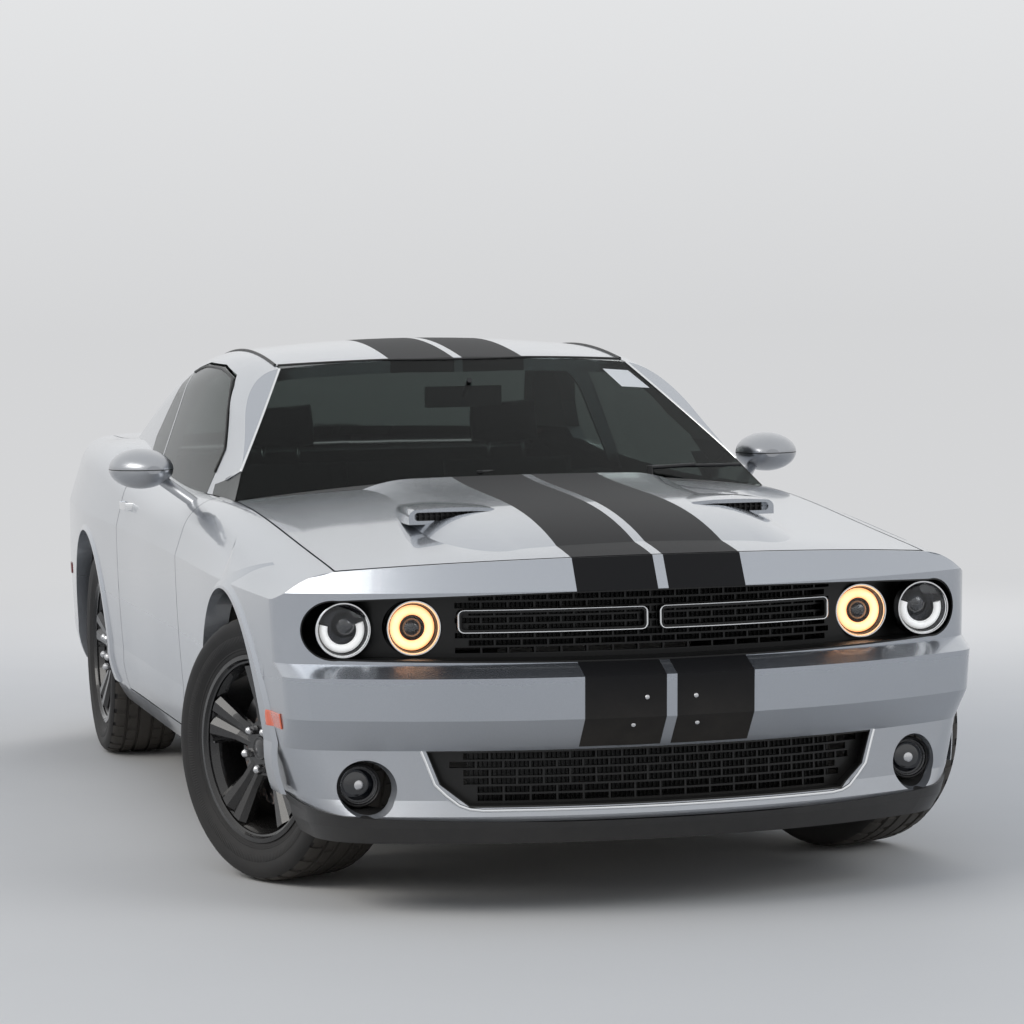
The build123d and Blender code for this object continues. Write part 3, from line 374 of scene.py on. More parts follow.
def bodyFinish(name, lined):
    material, tree, gloss, place = newMaterial(name, Coat_Roughness=0.05, Coat_IOR=1.45)
    spot = partsOf(tree, place)
    across = sums(tree, "ABSOLUTE", spot[1])
    edge = plus(tree, times(tree, spot[0], 0.0032), paint["stripeOuter"])
    stripe = times(tree, sums(tree, "GREATER_THAN", across, paint["stripeInner"]),
                  sums(tree, "LESS_THAN", across, edge))
    stripe = times(tree, stripe, sums(tree, "GREATER_THAN", spot[2], paint["stripeBottom"]))
    flake = effect(tree, flakes, Scale=paint["flakeScale"], Depth=0.12)
    broad = noiseOf(tree, place, 2.5, 2.0)
    silver = blendColor(tree, broad, paint["silver"], paint["shade"])
    silver = blendColor(tree, times(tree, flake["Glint"], 0.12), silver, (0.8, 0.82, 0.85, 1))
    color = blendColor(tree, stripe, silver, paint["stripe"])
    marks = 0.0
    for centre, size in paint["marks"]:
        marks = sums(tree, "MAXIMUM", marks, effect(tree, scuff, Centre=centre, Size=size)["Mask"])
    color = blendColor(tree, marks, color, (0.05, 0.05, 0.055, 1))
    film = effect(tree, dust, Top=0.62, Amount=0.55)["Mask"]
    color = blendColor(tree, film, color, dustColor)
    metal = times(tree, minus(tree, 1.0, stripe), minus(tree, 0.92, film))
    rough = blendValue(tree, stripe, 0.27, 0.52)
    rough = blendValue(tree, sums(tree, "MAXIMUM", film, marks), rough, 0.7)
    coat = minus(tree, minus(tree, 1.0, stripe), film, clamp=True)
    if lined:   # the inner faces of doors, pillars and roof are trimmed in black or grey
        facing = partsOf(tree, tree.nodes["Texture Coordinate"].outputs["Normal"])
        inward = sums(tree, "LESS_THAN", times(tree, facing[1], sums(tree, "SIGN", spot[1])), -0.3)
        under = sums(tree, "LESS_THAN", facing[2], -0.45)
        inside = times(tree, within(tree, spot[0], -1.75, 0.62), within(tree, spot[2], 0.31, 1.6))
        inside = times(tree, inside, sums(tree, "LESS_THAN", across, 0.905))
        lining = times(tree, sums(tree, "MAXIMUM", inward, under), inside)
        high = sums(tree, "GREATER_THAN", spot[2], 1.12)
        trim = blendColor(tree, high, (0.022, 0.022, 0.024, 1), (0.23, 0.23, 0.22, 1))
        color = blendColor(tree, lining, color, trim)
        rough = blendValue(tree, lining, rough, 0.75)
        metal = times(tree, metal, minus(tree, 1.0, lining))
        coat = times(tree, coat, minus(tree, 1.0, lining))
    fill(tree, gloss, {"Base Color": color, "Metallic": metal, "Roughness": rough, "Coat Weight": coat,
                       "Specular IOR Level": blendValue(tree, stripe, 0.5, 0.18), "Normal": flake["Normal"]})
    return material


def solidFinish(name, color, roughness, metal, coat, grainScale, depth, spread, dustTop, dustAmount, shine):
    # a plain finish with grain, tone and dust
    material, tree, gloss = newMaterial(name, Metallic=metal, Coat_Weight=coat, Specular_IOR_Level=shine)[:3]
    skin = effect(tree, grain, Scale=grainScale, Depth=depth)
    toned = effect(tree, tone, Color=(*color, 1), Scale=14.0, Spread=spread)["Color"]
    film = effect(tree, dust, Top=dustTop, Amount=dustAmount)["Mask"]
    uneven = times(tree, minus(tree, skin["Value"], 0.5), 0.15)
    rough = plus(tree, roughness, uneven)
    fill(tree, gloss, {"Base Color": blendColor(tree, film, toned, dustColor), "Roughness": rough,
                       "Normal": skin["Normal"]})
    return material


def glassFinish(name, tint, shadowTint, bend, shine=0.5, roughness=0.0):
    # clear or tinted glass that lets light through to what is behind it
    material, tree, gloss, place = newMaterial(name, IOR=bend, Transmission_Weight=1.0,
                                               Specular_IOR_Level=shine)
    noise = noiseOf(tree, place, 5.0, 3.0)
    film = effect(tree, dust, Top=1.6, Amount=0.02)["Mask"]
    rough = plus(tree, roughness, times(tree, plus(tree, noise, film), 0.004))
    color = effect(tree, tone, Color=(*tint, 1), Scale=2.0, Spread=0.04)["Color"]
    fill(tree, gloss, {"Base Color": color, "Roughness": rough})
    clear = add(tree, "BsdfTransparent", {0: (*shadowTint, 1)})
    shadow = add(tree, "LightPath").outputs["Is Shadow Ray"]
    mix = add(tree, "MixShader", {0: shadow, 1: gloss.outputs[0], 2: clear.outputs[0]})
    tree.links.new(mix.outputs[0], tree.nodes["Material Output"].inputs["Surface"])
    return material


def glowFinish(name, color, rim, strength, body):
    # a lit ring, paler where it faces the eye and deeper at its rim
    material, tree, gloss, place = newMaterial(name, Roughness=0.3, Coat_Weight=0.6,
                                               Emission_Strength=strength)
    noise = noiseOf(tree, place, 60.0, 2.0)
    facing = add(tree, "LayerWeight", {"Blend": 0.5}).outputs["Facing"]
    lit = blendColor(tree, facing, (*color, 1), (*rim, 1))
    lit = blendColor(tree, times(tree, noise, 0.25), lit, (*rim, 1))
    fill(tree, gloss, {"Base Color": (*body, 1), "Emission Color": lit})
    return material


def tyreFinish():
    # the sidewall's fine radial ribs follow the wheel's own place, kept on the mesh
    material, tree, gloss = newMaterial("tyreRubber", Specular_IOR_Level=0.3)[:3]
    own = add(tree, "Attribute", attribute_name="wheelPlace").outputs["Vector"]
    spot = partsOf(tree, own)
    turn = sums(tree, "ARCTAN2", spot[2], spot[0])
    radius = sums(tree, "SQRT", plus(tree, times(tree, spot[0], spot[0]),
                                     times(tree, spot[2], spot[2])))
    ribs = sums(tree, "SINE", times(tree, turn, 260.0))
    ribs = times(tree, ribs, within(tree, radius, 0.285, 0.305))
    skin = effect(tree, grain, Scale=700.0, Depth=0.2)
    rise = add(tree, "Bump", {"Strength": 0.5, "Distance": 0.0008, "Height": ribs, "Normal": skin["Normal"]})
    toned = effect(tree, tone, Color=(0.016, 0.016, 0.017, 1), Scale=20.0, Spread=0.5)["Color"]
    film = effect(tree, dust, Top=0.9, Amount=0.10)["Mask"]
    tread = times(tree, sums(tree, "GREATER_THAN", radius, 0.349), 0.22)
    film = plus(tree, film, times(tree, tread, skin["Value"]), clamp=True)
    rough = plus(tree, 0.62, times(tree, film, 0.3))
    fill(tree, gloss, {"Base Color": blendColor(tree, film, toned, dustColor), "Roughness": rough,
                       "Normal": rise.outputs[0]})
    return material


def clothFinish():
    # black woven cloth
    material, tree, gloss, place = newMaterial("seatCloth", Sheen_Weight=0.35, Sheen_Roughness=0.5,
                                               Roughness=0.9)
    thread = {"Vector": place, "Scale": 190.0, "Distortion": 1.2, "Detail": 1.0}
    warp = add(tree, "TexWave", thread, bands_direction="Y").outputs["Fac"]
    weft = add(tree, "TexWave", thread, bands_direction="Z").outputs["Fac"]
    weave = sums(tree, "MAXIMUM", warp, weft)
    skin = effect(tree, grain, Scale=900.0, Depth=0.3)
    rise = add(tree, "Bump",
               {"Strength": 0.35, "Distance": 0.0008, "Height": weave, "Normal": skin["Normal"]})
    color = blendColor(tree, weave, (0.010, 0.010, 0.011, 1), (0.032, 0.032, 0.034, 1))
    fill(tree, gloss, {"Base Color": effect(tree, tone, Color=color, Scale=9.0, Spread=0.3)["Color"],
                       "Normal": rise.outputs[0]})
    return material


def lensFinish():
    # red tail lens with fine upright ribs behind its face
    material, tree, gloss, place = newMaterial("tailLens", Roughness=0.25, Coat_Weight=0.6,
                                               Coat_Roughness=0.04, Emission_Strength=0.15)
    spot = partsOf(tree, place)
    ribs = sums(tree, "SINE", times(tree, spot[1], 900.0))
    cell = sums(tree, "GREATER_THAN", sums(tree, "SINE", times(tree, spot[2], 420.0)), 0.0)
    mixed = plus(tree, times(tree, ribs, 0.25), times(tree, cell, 0.5))
    rise = add(tree, "Bump", {"Strength": 0.25, "Distance": 0.001, "Height": mixed}).outputs[0]
    bright = times(tree, mixed, 0.6, clamp=True)
    color = blendColor(tree, bright, (0.12, 0.001, 0.002, 1), (0.30, 0.004, 0.006, 1))
    toned = effect(tree, tone, Color=color, Scale=10.0, Spread=0.2)["Color"]
    fill(tree, gloss, {"Base Color": toned, "Emission Color": toned, "Normal": rise})
    return material


def mirrorFinish():
    # the housing's grey paint, with the joint line of its cap
    material, tree, gloss, place = newMaterial("mirrorPaint", Metallic=0.85, Coat_Weight=0.5,
                                               Coat_Roughness=0.12)
    spot = partsOf(tree, place)
    outside = sums(tree, "GREATER_THAN", sums(tree, "ABSOLUTE", spot[1]), 0.90)
    line = times(tree, within(tree, spot[2], 1.0675, 1.0705), outside)
    flake = effect(tree, flakes, Scale=1100.0, Depth=0.1)
    grey = effect(tree, tone, Color=(0.40, 0.41, 0.43, 1), Scale=5.0, Spread=0.15)["Color"]
    fill(tree, gloss, {"Base Color": blendColor(tree, line, grey, (0.03, 0.03, 0.03, 1)),
                       "Normal": flake["Normal"],
                       "Roughness": plus(tree, times(tree, line, 0.4), 0.3)})
    return material


def pipeFinish():
    # dull steel pipes that end in bright tips
    material, tree, gloss, place = newMaterial("pipeSteel", Metallic=1.0)
    spot = partsOf(tree, place)
    tip = sums(tree, "LESS_THAN", spot[0], -2.36)
    skin = effect(tree, grain, Scale=260.0, Depth=0.3)
    stain = noiseOf(tree, place, 9.0, 7.0)
    dull = blendColor(tree, stain, (0.30, 0.26, 0.22, 1), (0.16, 0.12, 0.09, 1))
    fill(tree, gloss, {"Base Color": blendColor(tree, tip, dull, (0.72, 0.72, 0.72, 1)),
                       "Normal": skin["Normal"], "Roughness": blendValue(tree, tip, 0.55, 0.12)})
    return material


def discFinish():
    material, tree, gloss, place = newMaterial("discSteel", Metallic=1.0)
    skin = effect(tree, grain, Scale=900.0, Depth=0.15)
    stain = noiseOf(tree, place, 30.0, 6.0)
    rust = times(tree, sums(tree, "GREATER_THAN", stain, 0.58), 0.5)
    fill(tree, gloss, {"Base Color": blendColor(tree, rust, (0.46, 0.46, 0.47, 1), (0.20, 0.10, 0.05, 1)),
                       "Roughness": plus(tree, 0.28, rust), "Normal": skin["Normal"]})
    return material


bodyPaint, linedPaint = bodyFinish("bodyPaint", False), bodyFinish("linedPaint", True)
tyreRubber, seatCloth, tailLens, mirrorPaint = tyreFinish(), clothFinish(), lensFinish(), mirrorFinish()
pipeSteel, discSteel = pipeFinish(), discFinish()
windowGlass = glassFinish("windowGlass", (0.20, 0.23, 0.22), (0.30, 0.33, 0.32), 1.12, 0.35, 0.03)
clearGlass = glassFinish("clearGlass", (0.97, 0.98, 0.99), (0.95, 0.95, 0.95), 1.3)
# color, roughness, metal, coat, grain scale, grain depth, tone spread, dust height, dust amount, shine
plainFinishes = {
    "glossBlack": ((0.007, 0.007, 0.008), 0.16, 0.0, 0.8, 200.0, 0.03, 0.25, 0.5, 0.15, 0.5),
    "meshBlack": ((0.004, 0.004, 0.004), 0.38, 0.0, 0.12, 300.0, 0.05, 0.25, 0.5, 0.08, 0.35),
    "blackPlastic": ((0.012, 0.012, 0.013), 0.38, 0.0, 0.0, 500.0, 0.25, 0.25, 0.45, 0.16, 0.5),
    "linerPlastic": ((0.016, 0.016, 0.016), 0.8, 0.0, 0.0, 250.0, 0.6, 0.25, 0.9, 0.5, 0.5),
    "trimPlastic": ((0.020, 0.020, 0.022), 0.6, 0.0, 0.0, 650.0, 0.5, 0.25, 0.5, 0.05, 0.5),
    "wheelBlack": ((0.011, 0.011, 0.012), 0.26, 0.4, 0.7, 500.0, 0.06, 0.25, 0.5, 0.14, 0.5),
    "chassisSteel": ((0.028, 0.028, 0.029), 0.7, 0.0, 0.0, 180.0, 0.5, 0.25, 0.6, 0.6, 0.5),
    "castMetal": ((0.22, 0.21, 0.20), 0.55, 0.8, 0.0, 160.0, 0.7, 0.6, 0.5, 0.5, 0.5),
    "rubberTrim": ((0.010, 0.010, 0.010), 0.45, 0.0, 0.0, 600.0, 0.1, 0.25, 0.5, 0.1, 0.5),
    "chrome": ((0.80, 0.81, 0.82), 0.09, 1.0, 0.0, 60.0, 0.01, 0.05, 0.5, 0.1, 0.5),
    "nutSteel": ((0.62, 0.62, 0.63), 0.25, 1.0, 0.0, 500.0, 0.1, 0.25, 0.5, 0.2, 0.5),
    "lampBowl": ((0.035, 0.036, 0.04), 0.22, 0.9, 0.0, 90.0, 0.05, 0.4, 0.5, 0.0, 0.5),
    "darkLens": ((0.010, 0.011, 0.014), 0.05, 0.0, 1.0, 40.0, 0.01, 0.25, 0.5, 0.0, 0.5),
    "amberLens": ((0.75, 0.10, 0.02), 0.2, 0.0, 1.0, 300.0, 0.3, 0.25, 0.5, 0.1, 0.5),
    "paper": ((0.82, 0.82, 0.80), 0.6, 0.0, 0.0, 300.0, 0.1, 0.04, 0.5, 0.0, 0.5),
    "mirrorGlass": ((0.85, 0.87, 0.88), 0.02, 1.0, 0.0, 20.0, 0.0, 0.02, 0.5, 0.0, 0.5),
}
(glossBlack, meshBlack, blackPlastic, linerPlastic, trimPlastic, wheelBlack, chassisSteel,
 castMetal, rubberTrim, chrome, nutSteel, lampBowl, darkLens, amberLens, paper, mirrorGlass) = (
    solidFinish(name, *row) for name, row in plainFinishes.items())
whiteGlow = glowFinish("whiteGlow", (1.0, 0.98, 0.94), (0.6, 0.6, 0.6), 0.45, (0.8, 0.8, 0.8))
amberGlow = glowFinish("amberGlow", (1.0, 0.62, 0.34), (1.0, 0.24, 0.03), 1.7, (0.9, 0.6, 0.3))
print("finishes made")

# The CAD pieces that are kept as they are, and the finish each one takes
finishes = {
    bodyPaint: ["front_fascia", "hood", "decklid", "fender_left", "fender_right", "rear_fascia", "rear_deck"],
    linedPaint: ["roof", "side_left", "side_right", "door_left", "door_right"],
    meshBlack: ["grilles", "scoop_vents"],
    blackPlastic: ["chin_spoiler", "cowl", "wipers", "cabin_mirror"],
    linerPlastic: ["wheel_liners"],
    trimPlastic: ["dashboard", "steering_wheel"],
    chassisSteel: ["underbody", "trunk_tub", "front_suspension", "rear_suspension"],
    castMetal: ["engine", "knuckle_left", "knuckle_right"],
    windowGlass: ["fixed_glass", "door_glass_left", "door_glass_right"],
    tailLens: ["tail_lamps"], pipeSteel: ["exhaust"], mirrorPaint: ["mirror_left", "mirror_right"],
    wheelBlack: [f"rim_{a}_{s}" for a in ("front", "rear") for s in sides],
    discSteel: [f"disc_{a}_{s}" for a in ("front", "rear") for s in sides],
}
for finish, names in finishes.items():
    for name in names:
        nodes[name].data.materials.clear()
        nodes[name].data.materials.append(finish)
print("CAD pieces finished")


# Wheels: a treaded tyre, lug nuts, hub cap and valve on each

tyre = {"radius": 0.36, "half": 0.1225, "bead": 0.2335, "beadHalf": 0.0985, "steps": 108,
        "grooves": (0.024, 0.066), "grooveHalf": 0.0045, "grooveDepth": 0.007, "cutDepth": 0.004,
        # every third step round the tread: which one, least radius, from and to across, border left
        "cuts": [(0, 0.347, 0.072, 0.108, 0.0012), (1, 0.357, 0.030, 0.060, 0.0030)]}
wheelPlaces = {}
for side, sign in sides.items():
    hub = (steerX - sign * wheelOffset * math.sin(steerTurn),
           sign * (steerY + wheelOffset * math.cos(steerTurn)), axleHeight)
    face = Matrix.Identity(4) if sign > 0 else Matrix.Rotation(math.pi, 4, "Z")
    wheelPlaces["front_" + side] = Matrix.Translation(hub) @ Matrix.Rotation(steerTurn, 4, "Z") @ face
    rearHub = (rearX, sign * (steerY + wheelOffset), axleHeight)
    wheelPlaces["rear_" + side] = Matrix.Translation(rearHub) @ face


def tyreShape():
    r, h, g = tyre["radius"], tyre["half"], tyre["grooveHalf"]
    side = [(tyre["bead"], tyre["beadHalf"]), (0.247, 0.1000), (0.256, 0.1035), (0.262, 0.1060),
            (0.266, 0.1062), (0.268, 0.1082), (0.272, 0.1084), (0.275, 0.1105), (0.284, 0.1145),
            (0.287, 0.1165), (0.302, 0.1195), (0.305, 0.1185), (0.318, h - 0.0008), (0.332, h - 0.0015),
            (0.341, 0.1170), (0.348, 0.1115), (0.3535, 0.1020), (r - 0.0035, 0.090)]
    crown = []
    for groove in reversed(tyre["grooves"]):
        top = r - 0.0006 - groove * 0.025
        crown += [(top, groove + g + 0.001), (top - tyre["grooveDepth"], groove + g - 0.001),
                  (top - tyre["grooveDepth"], groove - g + 0.001), (top, groove - g - 0.001)]
    half = side + crown
    obj = spun("treadTyre", half + [(a, -b) for a, b in reversed(half)], tyre["steps"])
    edit(obj)
    step = math.tau / tyre["steps"]
    for turn, lowest, inner, outer, border in tyre["cuts"]:
        def isCut(place, item):
            number = int((math.atan2(place.z, place.x) + math.tau) / step)
            radius = math.hypot(place.x, place.z)
            return number % 3 == turn and radius > lowest and inner < abs(place.y) < outer
        choose(obj, "FACE", isCut)
        bpy.ops.mesh.inset(thickness=border, depth=-tyre["cutDepth"], use_boundary=True)
    done(obj)
    own = obj.data.attributes.new("wheelPlace", "FLOAT_VECTOR", "POINT")
    for item, v in zip(own.data, obj.data.vertices):
        item.vector = v.co
    return smooth(obj, 32)


def nutShape():
    # a hexagon nut with a domed end, standing on its stud
    bpy.ops.mesh.primitive_cylinder_add(vertices=6, radius=0.0135, depth=0.022, location=(0, 0, 0))
    obj = named("lugNut")
    edit(obj)
    choose(obj, "FACE", lambda place, item: item.normal.z > 0.9)
    for lift, size in ((0.004, 0.86), (0.004, 0.68), (0.0025, 0.45)):
        bpy.ops.mesh.extrude_region_move(TRANSFORM_OT_translate={"value": (0, 0, lift)})
        bpy.ops.transform.resize(value=(size, size, 1), center_override=(0, 0, 0))
    done(obj)
    eased(obj, 0.0012)
    obj.data.transform(Matrix.Translation((0, 0.088, 0)) @ Matrix.Rotation(-math.pi / 2, 4, "X"))
    return smooth(obj, 40)


wheelTyre, nut = tyreShape(), nutShape()
nutStep, nutCircle, valvePlace = math.tau / 5, 0.057, (0.205, 0.068, 0.0)
nuts = []
for k in range(5):
    turn = Matrix.Rotation(nutStep * (k + 0.5), 4, "Y")
    nuts.append(twin(nut, f"nut{k}", turn @ Matrix.Translation((0, 0, nutCircle))))
capRing = spun("capRing", [(0.0265, 0.087), (0.0285, 0.0895), (0.0310, 0.0895), (0.0320, 0.087),
                           (0.0320, 0.080), (0.0265, 0.080)], 48)
capDome = spun("capDome", [(0.0, 0.0905), (0.012, 0.0900), (0.022, 0.0882), (0.0262, 0.0865),
                           (0.0262, 0.080), (0.0, 0.080)], 48)
valve = spun("valve", [(0.0, 0.030), (0.0035, 0.030), (0.0035, 0.006), (0.0050, 0.004),
                       (0.0050, -0.004), (0.0, -0.004)], 16)
valve.data.transform(Matrix.Translation(valvePlace))
nutSet = joined("wheelNuts", nuts)
drop(nut)
capSet = smooth(joined("wheelCap", [capRing, capDome, valve]), 40)
for key, place in wheelPlaces.items():
    wheel = "wheel_" + key
    dress(twin(wheelTyre, "treadTyre_" + key, place), tyreRubber, wheel, ["tyre_" + key])
    dress(twin(nutSet, "lugNuts_" + key, place), nutSteel, wheel)
    dress(twin(capSet, "hubCap_" + key, place), glossBlack, wheel)
drop(wheelTyre, nutSet, capSet)
print("wheels done")

# Lamps: each profile is (radius, distance ahead of the lamp's face)

headLamp = {
    "outer": (2.231, 0.775, 0.727), "inner": (2.245, 0.597, 0.727),
    "bezel": [(0.0710, -0.030), (0.0710, -0.001), (0.0695, 0.002), (0.0665, 0.002), (0.0640, -0.003),
              (0.0630, -0.030)],
    "bowl": [(0.0635, -0.006), (0.0610, -0.012), (0.0600, -0.019), (0.0520, -0.026), (0.0500, -0.032),
             (0.0400, -0.035), (0.0385, -0.041), (0.0, -0.041), (0.0, -0.046), (0.0640, -0.046)],
    "lens": [(0.0645, -0.003), (0.0500, 0.0035), (0.0300, 0.0080), (0.0, 0.0095), (0.0, 0.0075),
             (0.0300, 0.0060), (0.0500, 0.0015), (0.0635, -0.005)],
    "eye": [(0.0, -0.012), (0.0110, -0.0135), (0.0200, -0.018), (0.0260, -0.025), (0.0270, -0.034),
            (0.0, -0.034)],
    "collar": [(0.0265, -0.041), (0.0265, -0.026), (0.0285, -0.024), (0.0315, -0.028), (0.0330, -0.041)],
}
fogLamp = {
    "place": (2.206, 0.738, 0.331),
    "ring": [(0.0560, -0.014), (0.0560, 0.0010), (0.0530, 0.0030), (0.0505, 0.0010), (0.0500, -0.014)],
    "shine": [(0.0490, -0.010), (0.0490, -0.0015), (0.0470, 0.0), (0.0450, -0.003), (0.0445, -0.010)],
    "lens": [(0.0440, -0.008), (0.0350, -0.003), (0.0200, 0.0005), (0.0, 0.0015), (0.0, -0.010),
             (0.0440, -0.010)],
    "eye": [(0.0, 0.0035), (0.0080, 0.0030), (0.0125, 0.0010), (0.0140, -0.003), (0.0, -0.003)],
}
forward = Matrix.Rotation(-math.pi / 2, 4, "Z")


def ringTube(name, radius, tube, ahead, steps=72, angle=math.tau, start=0.0):
    # tube is the ring's half width, and its section is a little flatter than round
    turns = [k * math.tau / 10 for k in range(10)]
    profile = [(radius + tube * math.cos(turn), ahead + tube * 0.8 * math.sin(turn)) for turn in turns]
    obj = spun(name, profile, steps, angle, start)
    if angle < math.tau:
        edit(obj)
        choose(obj, "EDGE", lambda place, item: item.is_boundary)
        bpy.ops.mesh.fill_holes(sides=0)
        done(obj)
    return obj


def atLamp(obj, name, place, sign, shift=(0, 0, 0)):
    mirror = Matrix.Diagonal((1, sign, 1, 1))
    at = Matrix.Translation((place[0], sign * place[1], place[2]))
    return twin(obj, name, at @ mirror @ Matrix.Translation(shift) @ forward)


def lampPiece(name, profile, material, places, shifts=None, stands=()):
    source = profile if isinstance(profile, bpy.types.Object) else spun(name + "Source", profile, 64)
    copies = []
    for n, place in enumerate(places):
        for sign in (1, -1):
            copies.append(atLamp(source, name, place, sign, shifts[n] if shifts else (0, 0, 0)))
    drop(source)
    return dress(smooth(joined(name, copies), 40), material, "chassis", stands)


outerLamp, innerLamp, fog = headLamp["outer"], headLamp["inner"], fogLamp["place"]
both = [outerLamp, innerLamp]
eyeShifts = [(0, -0.010, 0.010), (0, 0, 0)]
lampPiece("headLampBezels", headLamp["bezel"], chrome, both, stands=["front_lamps"])
lampPiece("headLampBowls", headLamp["bowl"], lampBowl, both)
lampPiece("headLampEyes", headLamp["eye"], darkLens, both, shifts=eyeShifts)
lampPiece("headLampCollars", headLamp["collar"], lampBowl, both, shifts=eyeShifts)
lampPiece("headLampLenses", headLamp["lens"], clearGlass, both)
crescent = ringTube("crescent", 0.0475, 0.0105, -0.020, 60, math.radians(215), math.radians(75))
lampPiece("outerHalos", crescent, whiteGlow, [outerLamp])
lampPiece("innerHalos", ringTube("halo", 0.0450, 0.0125, -0.021), amberGlow, [innerLamp])
lampPiece("fogRings", fogLamp["ring"], blackPlastic, [fog])
lampPiece("fogShine", fogLamp["shine"], nutSteel, [fog])
lampPiece("fogLenses", fogLamp["lens"], darkLens, [fog])
lampPiece("fogEyes", fogLamp["eye"], nutSteel, [fog])
print("lamps done")

# Bright and black trims

trims = {
    "frameRadius": 0.0026, "lipRadius": 0.0050, "glassRadius": 0.0042, "dripRadius": 0.0050,
    "doorSealRadius": 0.0045, "proud": 0.001, "noseX": 2.40, "castFrom": 3.2,
    # a grille frame: its sides, its corner radius, its foremost point and the arc of the nose
    "frame": (0.0175, 0.4905, 0.7135, 0.7705, 0.014), "frameFront": 2.3625, "frameArc": 1.6,
    "frameStep": 0.03,
    "pillarFoot": (0.803, 1.012), "pillarTop": (0.5545, 1.362), "pillarSteps": 12,
    "headerFront": 0.274, "headerArc": 1.42, "headerHalf": 0.55, "headerSteps": 12,
    "dripStart": 0.155, "dripStep": 0.05, "dripCount": 22, "dripY": 0.5575,
    "lipBottom": 0.276, "lipStep": 0.04, "lipHalf": 0.46,
    "lipCorner": [(-0.601, 0.424), (-0.592, 0.400), (-0.571, 0.340), (-0.545, 0.313), (-0.515, 0.288),
                  (-0.490, 0.279)],
}


def arcX(front, radius, y):
    # how far forward a plan arc lies at y from the middle
    return front - radius + math.sqrt(radius ** 2 - y * y)


def trimPiece(name, pieces, material, body="chassis", angle=50):
    return dress(smooth(joined(name, pieces), angle), material, body)


def frameOutline(sign):
    y0, y1, z0, z1, c = trims["frame"]
    centres = [(y1 - c, z1 - c, 0), (y0 + c, z1 - c, 90), (y0 + c, z0 + c, 180), (y1 - c, z0 + c, 270)]
    flat = [(y + c * math.cos(math.radians(a + k * 18)), z + c * math.sin(math.radians(a + k * 18)))
            for y, z, a in centres for k in range(6)]
    runs = []
    for (ya, za), (yb, zb) in zip(flat, flat[1:] + flat[:1]):
        count = max(1, int(abs(yb - ya) / trims["frameStep"]))
        runs += [(ya + (yb - ya) * k / count, za + (zb - za) * k / count) for k in range(count)]
    runs.append(runs[0])
    points = [(arcX(trims["frameFront"], trims["frameArc"], y), sign * y, z) for y, z in runs]
    return rail("frame", points, trims["frameRadius"])


trimPiece("grilleFrameOutlines", [frameOutline(1), frameOutline(-1)], chrome)


def onNose(y, z, lift=0.0):
    found = cast(["front_fascia"], (trims["castFrom"], y, z), (-1, 0, 0))
    return Vector((found.x + lift, y, z)) if found else Vector((trims["noseX"], y, z))


corner = trims["lipCorner"]
flat = [(k * trims["lipStep"] - trims["lipHalf"], trims["lipBottom"]) for k in range(24)]
lipLine = corner + flat + [(-y, z) for y, z in reversed(corner)]
lip = rail("intakeLip", [onNose(y, z, -trims["proud"]) for y, z in lipLine], trims["lipRadius"])
trimPiece("intakeLip", [lip], chrome)


def pillarEdge(sign):
    points, proud = [], trims["proud"]
    (footY, footZ), (topY, topZ) = trims["pillarFoot"], trims["pillarTop"]
    for k in range(trims["pillarSteps"] + 1):
        t = k / trims["pillarSteps"]
        y, z = footY + (topY - footY) * t, footZ + (topZ - footZ) * t
        start = (trims["castFrom"], sign * (y + 0.002), z)
        found = cast(["side_left", "side_right", "fixed_glass", "roof"], start, (-1, 0, 0))
        if found and found.x > 0:
            points.append(found + Vector((proud, sign * proud, proud)))
    return rail("pillarEdge", points, trims["glassRadius"])


trimPiece("windshieldTrims", [pillarEdge(1), pillarEdge(-1)], chrome)


def overhead(x, y):
    return cast(["roof", "side_left", "side_right", "fixed_glass"], (x, y, 2.2), (0, 0, -1))


steps = trims["headerSteps"]
across = [k * trims["headerHalf"] / steps for k in range(-steps, steps + 1)]
headerLine = [overhead(arcX(trims["headerFront"], trims["headerArc"], y) - 0.003, y) for y in across]
seals = [rail("headerSeal", headerLine, trims["dripRadius"] * 0.8)]
for sign in sides.values():
    along = [trims["dripStart"] - trims["dripStep"] * k for k in range(trims["dripCount"])]
    line = [overhead(x, sign * trims["dripY"]) + Vector((0, 0, trims["proud"])) for x in along]
    seals.append(rail("drip", line, trims["dripRadius"]))
trimPiece("roofSeals", seals, rubberTrim)

# the edge of a door glass in side view, from the mirror over the top to the rear
doorGlassEdge = [(0.343, 0.985), (0.352, 1.06), (0.363, 1.128), (0.300, 1.174), (0.210, 1.240),
                 (0.118, 1.303), (0.040, 1.338), (-0.080, 1.356), (-0.200, 1.368), (-0.350, 1.373),
                 (-0.500, 1.374), (-0.600, 1.366), (-0.687, 1.354)]
for side, sign in sides.items():
    points = []
    for x, z in doorGlassEdge:
        found = cast(["door_glass_" + side], (x, sign * 1.4, z - 0.004), (0, -sign, 0))
        if found:
            points.append(found + Vector((0, sign * trims["proud"], 0)))
    seal = rail("doorSeal", points, trims["doorSealRadius"])
    trimPiece("doorGlassSeal_" + side, [seal], rubberTrim, "door_" + side)


handle = {"route": [(-0.6515, 0.8960), (-0.6310, 0.9462), (-0.6100, 0.9476), (-0.5550, 0.9502),
                    (-0.5000, 0.9476), (-0.4790, 0.9462), (-0.4585, 0.8960)],
          "bottom": 0.9045, "height": 0.024, "wall": 0.0022, "round": 0.0009}
mirror = {"face": 0.2500, "centre": (1.002, 1.07), "radii": (0.083, 0.051), "bulge": 0.0012, "gap": 0.0010,
          "thickness": 0.0016}


